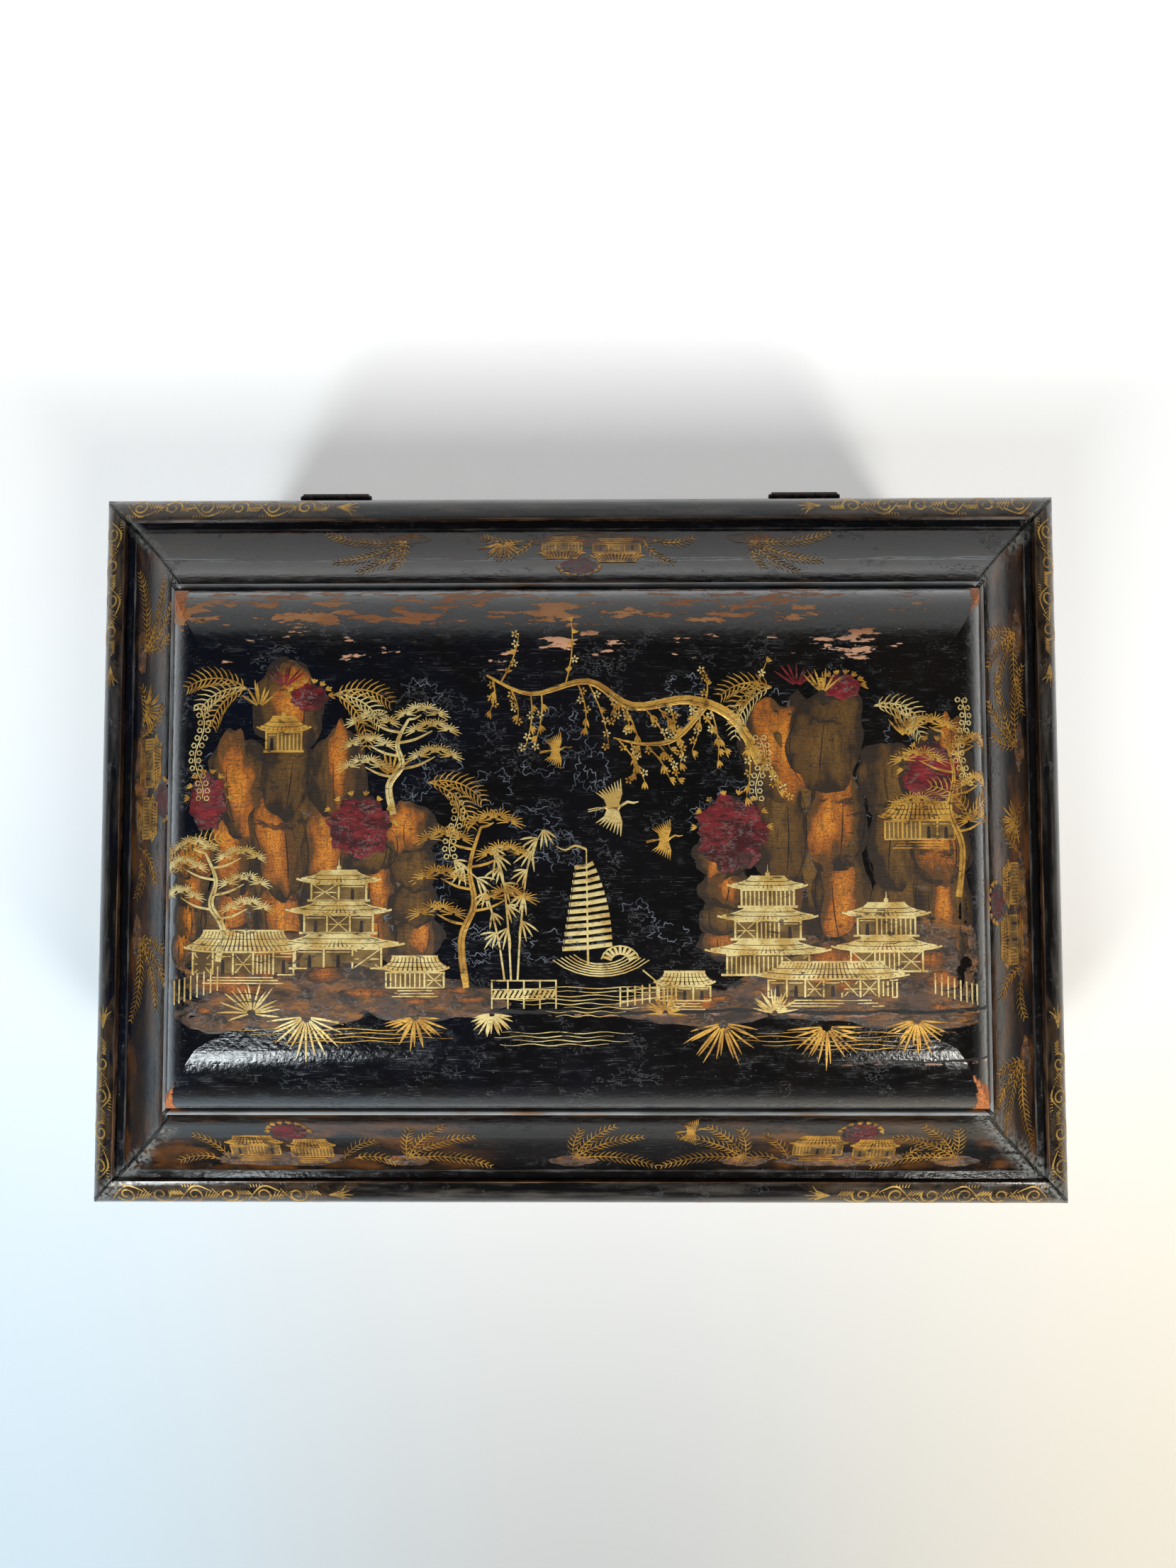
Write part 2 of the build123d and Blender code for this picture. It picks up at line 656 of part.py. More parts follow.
# Lid rails: a flat lower frame with the ovolo edge, and the coved frame glued on it
for side in SIDES:
    with BuildPart() as lower_rail:
        with BuildSketch(edge_plane(side, lid_width, lid_depth, lid_underside)):
            add(frame_section(0, lower_rail_height, lower_rail_width))
        extrude(amount=side_length(side, lid_width, lid_depth) / 2, both=True)
        round_corners(lid_width, lid_depth, lid_corner_radius, lid_underside, lower_rail_height)
        cut_mitres(side, lid_width, lid_depth)
        if side == "back":
            with Locations(*[(x, hinge_leaf_inner - leaf_fit, lid_underside) for x in HINGES.values()]):
                Box(leaf_width, wall + lid_overhang + knuckle_radius, leaf_thickness,
                    align=(Align.CENTER, Align.MIN, Align.MIN), mode=Mode.SUBTRACT)
            add(hinge_nails_lid.part, mode=Mode.SUBTRACT)
        if side == "front":
            with Locations((0, staple_middle, lid_underside)):
                Box(link_plate_width + 2 * lock_fit, link_plate_depth + 2 * lock_fit, link_plate_thickness,
                    align=(Align.CENTER, Align.CENTER, Align.MIN), mode=Mode.SUBTRACT)
            add(link_plate_nails.part, mode=Mode.SUBTRACT)
        add(lid_rail_nails.part, mode=Mode.SUBTRACT)
    save(lower_rail, f"lid_lower_rail_{side}")

    with BuildPart() as upper_rail:
        with BuildSketch(edge_plane(side, lid_width, lid_depth, lid_underside)):
            add(frame_section(lower_rail_height, lip_level, upper_rail_inset))
        extrude(amount=side_length(side, lid_width, lid_depth) / 2, both=True)
        cut_mitres(side, lid_width, lid_depth)
        add(lid_rail_nails.part, mode=Mode.SUBTRACT)
    save(upper_rail, f"lid_upper_rail_{side}")


def arch(half, shoulder_width):
    """Outline of the cushion across one direction: square edge, elliptical shoulders, low crown."""
    slope = 2 * math.atan(crown_rise / (half - shoulder_width))
    turn = 90 - math.degrees(math.atan(math.tan(slope) * shoulder_width / shoulder_rise))
    with BuildSketch() as section:
        with BuildLine():
            right = EllipticalCenterArc((half - shoulder_width, panel_edge_height), shoulder_width, shoulder_rise,
                                        start_angle=0, arc_size=turn)
            top = right @ 1
            mirror(right, about=Plane.YZ)
            TangentArc(top, (-top.X, top.Y), tangent=right % 1)
            Polyline((half, panel_edge_height), (half, 0), (-half, 0), (-half, panel_edge_height))
        make_face()
    return section.sketch


# Cushion panel: an arch along the box cut by an arch across it, which leaves ridges at the corners
panel_half_width = lid_width / 2 - panel_inset
panel_half_depth = lid_depth / 2 - panel_inset
with BuildPart() as lid_panel:
    with BuildSketch(Plane(origin=(0, 0, panel_level), x_dir=(0, 1, 0), z_dir=(1, 0, 0))):
        add(arch(panel_half_depth, front_shoulder_width))
    extrude(amount=panel_half_width, both=True)
    with BuildSketch(Plane(origin=(0, 0, panel_level), x_dir=(1, 0, 0), z_dir=(0, -1, 0))):
        add(arch(panel_half_width, end_shoulder_width))
    extrude(amount=panel_half_depth, both=True, mode=Mode.INTERSECT)
save(lid_panel, "lid_panel")

# Glue blocks in the angle between the upper rails and the underside of the panel
with BuildPart() as lid_glue_blocks:
    for side, places in (("front", (-block_spacing, block_spacing)), ("back", (-block_spacing, block_spacing)),
                         ("left", (0,)), ("right", (0,))):
        plane = edge_plane(side, lid_width, lid_depth, lid_underside)
        for place in places:
            with BuildSketch(plane.offset(place - block_length / 2)):
                with BuildLine():
                    Polyline((upper_rail_inset, shelf_level), (upper_rail_inset, shelf_level - block_leg),
                             (upper_rail_inset + block_leg, shelf_level), close=True)
                make_face()
            extrude(amount=block_length)
save(lid_glue_blocks, "lid_glue_blocks")
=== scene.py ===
# %% [markdown]
# # A lacquered box for papers and keepsakes
# The real box is a black lacquered casket with a cushion-shaped lid, gilt ornament and worn edges.
# The wood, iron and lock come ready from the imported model. This lesson gives them their finishes,
# lays the gilt and bronze decoration on the lacquer, and sets up a plain studio.

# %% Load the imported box
import bpy
import bmesh
import math
import random
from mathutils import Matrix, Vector
from mathutils.bvhtree import BVHTree


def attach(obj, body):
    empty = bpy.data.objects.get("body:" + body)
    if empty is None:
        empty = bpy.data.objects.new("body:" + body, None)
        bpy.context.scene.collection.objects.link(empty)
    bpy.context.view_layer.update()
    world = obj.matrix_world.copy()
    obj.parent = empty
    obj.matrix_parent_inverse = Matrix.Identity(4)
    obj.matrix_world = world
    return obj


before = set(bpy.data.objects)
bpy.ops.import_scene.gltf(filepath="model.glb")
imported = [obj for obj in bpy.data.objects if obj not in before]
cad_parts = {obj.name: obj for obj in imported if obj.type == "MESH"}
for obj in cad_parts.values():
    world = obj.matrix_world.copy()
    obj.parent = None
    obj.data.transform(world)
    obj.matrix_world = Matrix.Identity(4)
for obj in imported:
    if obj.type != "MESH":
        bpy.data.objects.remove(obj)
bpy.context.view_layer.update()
MM = 0.001

# %% [markdown]
# The photograph looks down on the lid from close by with a wide phone lens. That gives the strong
# perspective that makes the lid look larger than the table below it. The camera's height and
# focal length were fitted to the lines of the lid, so they are kept as measured values.

# %% Camera
LID_LINE = 111.2 * MM
LENS_MM = 24.97
camera_data = bpy.data.cameras.new("photo_camera")
camera_data.sensor_fit = "VERTICAL"
camera_data.sensor_height = 36.0
camera_data.lens = LENS_MM
camera = bpy.data.objects.new("photo_camera", camera_data)
bpy.context.scene.collection.objects.link(camera)
camera.location = (7.0 * MM, 2.0 * MM, LID_LINE + 411.8 * MM)
camera.rotation_euler = (math.radians(2.93), math.radians(0.5), math.radians(-0.08))
bpy.context.scene.camera = camera
bpy.context.scene.view_settings.view_transform = "Standard"
print("camera stands", round(camera.location.z, 3), "m above the table")

# %% [markdown]
# The box stands on white paper that curves up into a backdrop far behind it. A flat plane would
# end in a hard horizon in low views. Such a sweep is made from one plane: its far edge is extruded
# upward and the corner is rounded with a bevel.

# %% Floor and backdrop
bpy.ops.object.select_all(action="DESELECT")
bpy.ops.mesh.primitive_plane_add(size=1.0, location=(0, 0, 0))
paper = bpy.context.object
paper.name = "paper_sweep"
SWEEP_HALF_WIDTH, SWEEP_FRONT, SWEEP_BACK, SWEEP_HEIGHT, SWEEP_BEND = 4.0, -4.0, 1.15, 2.6, 0.5
for vertex in paper.data.vertices:
    vertex.co.x = math.copysign(SWEEP_HALF_WIDTH, vertex.co.x)
    vertex.co.y = SWEEP_BACK if vertex.co.y > 0 else SWEEP_FRONT
bpy.ops.object.mode_set(mode="EDIT")
bpy.ops.mesh.select_mode(type="EDGE")
bpy.ops.mesh.select_all(action="DESELECT")
sweep = bmesh.from_edit_mesh(paper.data)
for edge in sweep.edges:
    edge.select_set(all(v.co.y > 0 for v in edge.verts))
bmesh.update_edit_mesh(paper.data)
bpy.ops.mesh.extrude_region_move(TRANSFORM_OT_translate={"value": (0, 0, SWEEP_HEIGHT)})
bpy.ops.mesh.select_all(action="DESELECT")
sweep = bmesh.from_edit_mesh(paper.data)
for edge in sweep.edges:
    edge.select_set(all(v.co.y > 0 and v.co.z < SWEEP_HEIGHT / 2 for v in edge.verts))
bmesh.update_edit_mesh(paper.data)
bpy.ops.mesh.bevel(offset=SWEEP_BEND, segments=12)
bpy.ops.object.mode_set(mode="OBJECT")
bpy.ops.object.shade_smooth()
print("paper sweep:", len(paper.data.polygons), "faces")

# %% [markdown]
# Every finish below is a network of shader nodes. Wiring them one call at a time is long, so a
# small helper places a node, sets or links its inputs, and hands back its output. All patterns
# read the piece's own coordinates, turned into millimetres, so that sizes mean what they say.

# %% Colours as a screen shows them
def shade(red, green, blue):
    """A colour as a screen shows it, 0 to 255, in the linear values that Blender works with."""
    def linear(value):
        value /= 255
        return value / 12.92 if value <= 0.04045 else ((value + 0.055) / 1.055) ** 2.4
    return (linear(red), linear(green), linear(blue), 1)


print("mid grey is", round(shade(128, 128, 128)[0], 3), "in linear values")

# %% A helper for shader nodes
class Wiring:
    """Places and links shader nodes in one node tree."""

    def __init__(self, tree):
        self.tree = tree

    def plug(self, socket, value):
        """Links an output to the socket, or sets a plain value on it."""
        if isinstance(value, bpy.types.NodeSocket):
            self.tree.links.new(value, socket)
        else:
            socket.default_value = value

    def math(self, operation, *values):
        node = self.tree.nodes.new("ShaderNodeMath")
        node.operation = operation
        for socket, value in zip(node.inputs, values):
            self.plug(socket, value)
        return node.outputs[0]

    def times(self, *values):
        result = values[0]
        for value in values[1:]:
            result = self.math("MULTIPLY", result, value)
        return result

    def most(self, *values):
        result = values[0]
        for value in values[1:]:
            result = self.math("MAXIMUM", result, value)
        return result

    def away(self, value, middle):
        """How far the value is from the middle."""
        return self.math("ABSOLUTE", self.math("SUBTRACT", value, middle))

    def vector(self, operation, first, second):
        node = self.tree.nodes.new("ShaderNodeVectorMath")
        node.operation = operation
        self.plug(node.inputs[0], first)
        self.plug(node.inputs[1], second)
        return node.outputs[0]

    def parts(self, vector):
        node = self.tree.nodes.new("ShaderNodeSeparateXYZ")
        self.plug(node.inputs[0], vector)
        return node.outputs

    def join(self, x, y, z):
        node = self.tree.nodes.new("ShaderNodeCombineXYZ")
        for socket, value in zip(node.inputs, (x, y, z)):
            self.plug(socket, value)
        return node.outputs[0]

    def noise(self, place, size, stretch=(1, 1, 1), detail=3.0, roughness=0.55):
        """Cloudy values about 0.5 in patches of the given size, in millimetres."""
        node = self.tree.nodes.new("ShaderNodeTexNoise")
        spread = tuple(1 / (size * s) for s in stretch)
        self.plug(node.inputs["Vector"], self.vector("MULTIPLY", place, spread))
        node.inputs["Scale"].default_value = 1.0
        node.inputs["Detail"].default_value = detail
        node.inputs["Roughness"].default_value = roughness
        return node.outputs[0]

    def step(self, value, low, high, bottom=0.0, top=1.0):
        """A soft step: bottom below low, top above high."""
        node = self.tree.nodes.new("ShaderNodeMapRange")
        node.interpolation_type = "SMOOTHSTEP"
        for socket, number in zip(node.inputs, (value, low, high, bottom, top)):
            self.plug(socket, number)
        return node.outputs[0]

    def mix(self, factor, first, second):
        node = self.tree.nodes.new("ShaderNodeMix")
        node.data_type = "RGBA"
        self.plug(node.inputs[0], factor)
        self.plug(node.inputs[6], first)
        self.plug(node.inputs[7], second)
        return node.outputs[2]

    def place(self):
        """The piece's own coordinates, in millimetres."""
        node = self.tree.nodes.new("ShaderNodeTexCoord")
        return self.vector("MULTIPLY", node.outputs["Object"], (1 / MM, 1 / MM, 1 / MM))

    def attribute(self, name):
        """A value that the piece's mesh carries at each point."""
        node = self.tree.nodes.new("ShaderNodeAttribute")
        node.attribute_name = name
        return node.outputs["Fac"]

    def use(self, group, **values):
        """Puts a node group in the tree and gives back its outputs."""
        node = self.tree.nodes.new("ShaderNodeGroup")
        node.node_tree = group
        for title, value in values.items():
            self.plug(node.inputs[title], value)
        return node.outputs

    def surface(self, colour, roughness, height=None, depth=0.03, metallic=0.0, gloss=0.5):
        """A Principled surface with a bump of the given depth, in millimetres."""
        shader = self.tree.nodes.new("ShaderNodeBsdfPrincipled")
        self.plug(shader.inputs["Base Color"], colour)
        self.plug(shader.inputs["Roughness"], roughness)
        self.plug(shader.inputs["Metallic"], metallic)
        shader.inputs["Specular IOR Level"].default_value = gloss
        if height is not None:
            bump = self.tree.nodes.new("ShaderNodeBump")
            bump.inputs["Distance"].default_value = depth * MM
            self.plug(bump.inputs["Height"], height)
            self.plug(shader.inputs["Normal"], bump.outputs[0])
        output = self.tree.nodes.new("ShaderNodeOutputMaterial")
        self.plug(output.inputs["Surface"], shader.outputs[0])


print("wiring helper is ready")

# %% New finishes and groups
def new_finish(name):
    """An empty material and the wiring for it."""
    material = bpy.data.materials.new(name)
    material.use_nodes = True
    material.node_tree.nodes.clear()
    return material, Wiring(material.node_tree)


def new_group(name, inputs, outputs):
    """An empty node group: its tree, its wiring, what it is given and what it results in."""
    group = bpy.data.node_groups.new(name, "ShaderNodeTree")
    for titles, way in ((inputs, "INPUT"), (outputs, "OUTPUT")):
        for title, kind in titles.items():
            group.interface.new_socket(title, in_out=way, socket_type="NodeSocket" + kind)
    given = group.nodes.new("NodeGroupInput").outputs
    results = group.nodes.new("NodeGroupOutput").inputs
    return group, Wiring(group), given, results


print("finishes and groups can be made")

# %% [markdown]
# The paper is pale, and a little light is added where the camera, a reflection or glass sees it.
# That gives a white background without more light on the box. Behind the box it is lifted most.
# In front of the box the paper is a painted grey shadow, and painted light tints it cool at the
# front left and warm at the front right, as the two lamps would. To the sides and far in front,
# out of the camera's view, it fades to a painted grey shade that stands for the dim room.

# %% Paper
PAPER_LIFT, BACK_LIFT, FAR_LIFT = 0.37, 0.75, 0.2
FRONT_PAINTED_SHADOW, BACK_TONE, FAR_PAINTED_SHADE = shade(196, 196, 196), shade(250, 250, 250), shade(150, 150, 150)
COOL_PAINTED_LIGHT, COOL_LIGHT_AMOUNT = shade(208, 234, 252), 0.6
WARM_PAINTED_LIGHT, WARM_LIGHT_AMOUNT = shade(252, 238, 212), 0.55
white_paper, net = new_finish("white_paper")
across, deep, high = net.parts(net.vector("MULTIPLY", net.place(), (MM, MM, MM)))
sideways = net.math("ABSOLUTE", across)
# Painted light: a cool tint at the front left and a warm tint at the front right of the paper.
cool_light_patch = net.times(net.step(across, 0.0, -0.28), net.step(deep, 0.25, -0.1), COOL_LIGHT_AMOUNT)
warm_light_patch = net.times(net.step(across, 0.0, 0.3), net.step(deep, 0.1, -0.2), WARM_LIGHT_AMOUNT)
# Painted shadow: the paper is grey in front of the box and white behind it.
tone = net.mix(net.step(deep, -0.42, 0.05), FRONT_PAINTED_SHADOW, BACK_TONE)
tone = net.mix(cool_light_patch, tone, COOL_PAINTED_LIGHT)
tone = net.mix(warm_light_patch, tone, WARM_PAINTED_LIGHT)
# Painted shade: far to the sides and in front the paper turns grey.
far_off = net.most(net.step(sideways, 0.45, 1.4), net.step(deep, -0.38, -1.1))
far_back = net.times(net.step(deep, 0.19, 0.32), net.step(sideways, 3.8, 2.2))
diffuse = net.tree.nodes.new("ShaderNodeBsdfDiffuse")
net.plug(diffuse.inputs["Color"], net.mix(far_off, tone, FAR_PAINTED_SHADE))
glow = net.tree.nodes.new("ShaderNodeEmission")
rays = net.tree.nodes.new("ShaderNodeLightPath")
seen = net.most(rays.outputs["Is Camera Ray"], rays.outputs["Is Glossy Ray"],
                rays.outputs["Is Transmission Ray"])
lift = net.step(far_off, 0.0, 1.0, net.step(deep, -0.4, 0.1, 0.0, PAPER_LIFT), FAR_LIFT)
lift = net.step(far_back, 0.0, 1.0, lift, BACK_LIFT)
net.plug(glow.inputs["Strength"], net.times(seen, lift, net.step(high, 1.9, 1.0)))
both = net.tree.nodes.new("ShaderNodeAddShader")
net.plug(both.inputs[0], diffuse.outputs[0])
net.plug(both.inputs[1], glow.outputs[0])
paper_output = net.tree.nodes.new("ShaderNodeOutputMaterial")
net.plug(paper_output.inputs["Surface"], both.outputs[0])
paper.data.materials.append(white_paper)
print("paper finish:", len(net.tree.nodes), "nodes")

# %% [markdown]
# Two soft lamps hang high in front of the box, a cool one to the left and a warm one to the right.
# Where both are blocked, behind the box, they leave a short grey shadow. Two narrow windows stand
# lower and make the bright patches on the lid's front corners. Sharp lamps would leave hard edges
# on the paper, so each is a wide area light.

# %% Lights
LOOK_AT = Vector((0, 0, 0.1))

def soft_light(name, place, width, height, power, colour):
    """An area light that looks at the box."""
    data = bpy.data.lights.new(name, "AREA")
    data.shape = "RECTANGLE"
    data.size = width
    data.size_y = height
    data.energy = power
    data.color = colour
    light = bpy.data.objects.new(name, data)
    bpy.context.scene.collection.objects.link(light)
    light.location = place
    light.visible_camera = False
    aim = LOOK_AT - Vector(place)
    light.rotation_euler = aim.to_track_quat("-Z", "Y").to_euler()


soft_light("lamp_left", (-0.68, -0.8, 1.2), 0.16, 0.75, 11.5, (0.9, 0.97, 1.0))
soft_light("lamp_right", (0.72, -0.8, 1.2), 0.16, 0.75, 12, (1.0, 0.97, 0.9))
soft_light("window_left", (-0.72, -1.0, 0.5), 0.1, 0.5, 2.8, (0.86, 0.95, 1.0))
soft_light("window_right", (0.76, -1.0, 0.5), 0.1, 0.5, 2.8, (1.0, 0.97, 0.92))

# %% [markdown]
# The room is grey near the floor, where the paper ends, for all that the camera, a reflection or
# glass sees of it. Above it is dark, so that the flat top of the lacquer stays black.

# %% Room
DARK_ROOM, GREY_ROOM = (0.05, 0.052, 0.055, 1), (0.21, 0.21, 0.215, 1)
world = bpy.data.worlds.new("dim_room")
bpy.context.scene.world = world
world.use_nodes = True
room = Wiring(world.node_tree)
sky_direction = world.node_tree.nodes.new("ShaderNodeTexCoord").outputs["Generated"]
towards = room.parts(sky_direction)
rays = world.node_tree.nodes.new("ShaderNodeLightPath")
seen = room.most(rays.outputs["Is Camera Ray"], rays.outputs["Is Glossy Ray"],
                 rays.outputs["Is Transmission Ray"])
low = room.times(seen, room.step(towards["Z"], 0.3, 0.14))
background = world.node_tree.nodes["Background"]
room.plug(background.inputs["Color"], room.mix(low, DARK_ROOM, GREY_ROOM))
background.inputs["Strength"].default_value = 1.0
print("room is set")

# %% [markdown]
# Old lacquer is black, but not evenly: it is bluish in places and brown where it has thinned. The
# grain of the wood below shows as fine raised lines, dust lies in them, and a net of hair cracks
# catches the light in patches. One node group holds all this, and each piece tunes it.

# %% Black lacquer
lacquer, net, given, results = new_group(
    "black_lacquer",
    {"Grain": "Vector", "Cool": "Float", "Dust": "Float"},
    {"Colour": "Color", "Roughness": "Float", "Height": "Float"})
grain = given["Grain"]
cloud = net.noise(grain, 30, detail=4)
fine = net.noise(grain, 3.2, stretch=(2.2, 1, 1), detail=5, roughness=0.62)
streak = net.noise(grain, 0.42, stretch=(16, 1, 1), detail=3)
speck = net.noise(grain, 0.34, stretch=(3.2, 1, 1), detail=2)
hair = net.away(net.noise(grain, 2.3, stretch=(1.6, 1, 1), detail=5, roughness=0.6), 0.5)
patch = net.step(net.noise(grain, 13, detail=3), 0.56, 0.64)
crackle = net.times(net.step(hair, 0.016, 0.004), patch)
blue_black = net.mix(given["Cool"], shade(21, 17, 14), shade(9, 13, 25))
ground = net.mix(net.step(cloud, 0.36, 0.62), shade(13, 12, 12), blue_black)
dusty = net.times(net.step(streak, 0.54, 0.68), net.step(fine, 0.42, 0.62), given["Dust"])
colour = net.mix(net.times(dusty, 0.5), ground, shade(74, 74, 78))
sparks = net.times(net.step(speck, 0.69, 0.74), net.step(fine, 0.50, 0.60), given["Dust"])
colour = net.mix(net.times(sparks, 0.9), colour, shade(160, 162, 166))
colour = net.mix(net.times(crackle, given["Dust"], 0.5), colour, shade(90, 93, 100))
bloom = net.times(net.step(net.noise(grain, 6, detail=6, roughness=0.7), 0.56, 0.72), given["Dust"])
colour = net.mix(net.times(bloom, 0.14), colour, shade(84, 88, 98))
net.plug(results["Colour"], colour)
dull = net.math("ADD", net.step(fine, 0.35, 0.75, 0.09, 0.2), net.times(bloom, 0.14))
net.plug(results["Roughness"], net.math("ADD", dull, net.times(dusty, 0.16)))
crumple = net.noise(grain, 1.7, detail=3)
relief = net.math("ADD", net.times(streak, 0.15), net.times(fine, 0.6))
relief = net.math("ADD", relief, net.times(crumple, 0.6))
net.plug(results["Height"], net.math("SUBTRACT", relief, net.times(crackle, 0.7)))
print("black lacquer group:", len(lacquer.nodes), "nodes")

# %% [markdown]
# Where the lacquer has come off, the loss is long in the direction of the grain, with a sharp
# ragged edge and pinkish or orange wood inside. The amount says how much of the surface is lost.

# %% Flaked lacquer
flakes, net, given, results = new_group(
    "flaked_lacquer",
    {"Grain": "Vector", "Amount": "Float"},
    {"Mask": "Float", "Colour": "Color", "Edge": "Float"})
grain = given["Grain"]
chips = net.noise(grain, 2.5, stretch=(3.8, 1, 1), detail=6, roughness=0.62)
fields = net.noise(grain, 10.0, stretch=(2.6, 1, 1), detail=2)
ragged = net.math("ADD", net.times(chips, 0.6), net.times(fields, 0.4))
limit = net.step(given["Amount"], 0.0, 1.0, 0.72, 0.5)
over = net.math("SUBTRACT", ragged, limit)
net.plug(results["Mask"], net.step(over, 0.0, 0.006))
rim = net.times(net.step(over, -0.012, 0.0), net.step(over, 0.016, 0.004))
net.plug(results["Edge"], rim)
fibre = net.noise(grain, 0.5, stretch=(9, 1, 1), detail=3)
wood = net.mix(net.step(net.noise(grain, 26, detail=2), 0.42, 0.58),
               shade(176, 122, 78), shade(148, 94, 54))
net.plug(results["Colour"], net.mix(net.step(fibre, 0.45, 0.75, 0.0, 0.55), wood, shade(120, 72, 44)))
print("flaked lacquer group:", len(flakes.nodes), "nodes")

# %% [markdown]
# Edges that hands and cloths touch are rubbed to a broken grey or brown line. A line needs the
# distance across it and a place for the noise that breaks it up.

# %% Rubbed line
rubbed, net, given, results = new_group(
    "rubbed_line",
    {"Across": "Float", "Grain": "Vector", "Width": "Float", "Broken": "Float"},
    {"Mask": "Float"})
wander = net.noise(given["Grain"], 3.0, stretch=(5, 1, 1), detail=5, roughness=0.65)
ragged_width = net.times(given["Width"], net.step(wander, 0.3, 0.7, 0.35, 1.6))
line = net.step(given["Across"], ragged_width, net.times(ragged_width, 0.45))
gaps = net.step(net.noise(given["Grain"], 7.0, stretch=(4, 1, 1), detail=4), 0.62, 0.42)
kept = net.math("SUBTRACT", 1.0, net.times(gaps, given["Broken"]))
net.plug(results["Mask"], net.times(line, kept))
print("rubbed line group:", len(rubbed.nodes), "nodes")

# %% [markdown]
# One long crack runs along the front of the cushion, and a second one lower down at its right. They
# go through lacquer and paint alike, so the lacquer and the paints share them as a group.

# %% Long cracks
FRONT_CRACK = {"Level": -51.5, "Start": -50.0, "Width": 0.85}
SLOPE_CRACK = {"Level": -67.0, "Start": 70.0, "Width": 0.4}
CUSHION_LEVEL, MEAN_WANDER = 148.0, 2.85
long_crack, net, given, results = new_group(
    "long_crack",
    {"Place": "Vector", "Level": "Float", "Start": "Float", "Width": "Float"},
    {"Mask": "Float", "Pale": "Float"})
x, y, z = net.parts(given["Place"])
along = net.join(x, 0.0, 0.0)
wander = net.math("ADD", net.times(net.noise(along, 34, detail=3), 5.0),
                  net.times(net.noise(along, 3, detail=3), 0.7))
away = net.math("SUBTRACT", net.math("ADD", given["Level"], wander), net.math("ADD", y, MEAN_WANDER))
run = net.times(net.step(x, given["Start"], net.math("ADD", given["Start"], 40.0)),
                net.step(z, CUSHION_LEVEL - 2, CUSHION_LEVEL))
width = net.times(given["Width"], net.step(net.noise(along, 9, detail=3), 0.3, 0.7, 0.5, 1.3))
opening = net.step(net.math("ABSOLUTE", away), width, net.times(width, 0.5))
net.plug(results["Mask"], net.times(opening, run))
torn = net.step(net.noise(given["Place"], 2.4, stretch=(2.5, 1, 1), detail=5), 0.56, 0.6)
net.plug(results["Pale"], net.times(net.step(net.away(away, 0.6), 0.7, 0.5), torn, run))
print("long crack group:", len(long_crack.nodes), "nodes")

# %% [markdown]
# The unseen wood is plain softwood: the bottom board, the inside of the walls, the glue blocks.
# Growth lines run with the grain, and age has browned it unevenly.

# %% Bare wood
bare_wood_group, net, given, results = new_group(
    "bare_wood", {"Grain": "Vector"}, {"Colour": "Color", "Roughness": "Float", "Height": "Float"})
grain = given["Grain"]
bend = net.noise(grain, 60, stretch=(3, 1, 1), detail=2)
x, y, z = net.parts(grain)
rings = net.math("SINE", net.math("ADD", net.times(net.math("ADD", y, z), 1.3), net.times(bend, 34)))
pore = net.noise(grain, 0.5, stretch=(24, 1, 1), detail=4)
pale = net.mix(net.step(rings, -0.6, 0.9), shade(168, 128, 84), shade(134, 94, 56))
aged = net.mix(net.step(net.noise(grain, 40, detail=4), 0.4, 0.66), pale, shade(104, 72, 45))
net.plug(results["Colour"], net.mix(net.step(pore, 0.52, 0.72, 0.0, 0.6), aged, shade(74, 50, 32)))
net.plug(results["Roughness"], net.step(pore, 0.3, 0.7, 0.62, 0.8))
net.plug(results["Height"], net.math("ADD", net.times(rings, 0.25), net.times(pore, 1.2)))
print("bare wood group:", len(bare_wood_group.nodes), "nodes")

# %% [markdown]
# The lid's frame is four mitred mouldings. On each one the patterns are laid out as a maker would:
# along the moulding, inward from its outer edge, and up. The front one has brown painted banks and
# orange chips, the back one an open joint, and the left one is blue-black.

# %% Lid frame
LID_HALF_WIDTH, LID_HALF_DEPTH = 180.0, 132.0
LID_UNDERSIDE = 108.2
OVOLO_EDGE, COVE_FOOT, RAIL_JOINT_INSET, LIP_INSET = 10.2, 13.6, 27.5, 44.0
BORDER_END_LONG, BORDER_END_SHORT = 82.0, 58.0
LACQUER_GLOSS = 0.4


def moulding_place(net, side):
    """Coordinates on one side: along it, inward from its edge, up, and in from its mitres."""
    x, y, z = net.parts(net.place())
    along, out, half, length = {
        "front": (x, y, -LID_HALF_DEPTH, LID_HALF_WIDTH), "back": (x, y, LID_HALF_DEPTH, LID_HALF_WIDTH),
        "left": (y, x, -LID_HALF_WIDTH, LID_HALF_DEPTH), "right": (y, x, LID_HALF_WIDTH, LID_HALF_DEPTH),
    }[side]
    inset = net.away(out, half)
    from_end = net.math("SUBTRACT", length, net.math("ABSOLUTE", along))
    mitre = net.math("SUBTRACT", from_end, inset)
    return along, inset, z, mitre


print("places are known on a moulding of", 2 * LID_HALF_WIDTH, "or", 2 * LID_HALF_DEPTH, "mm")
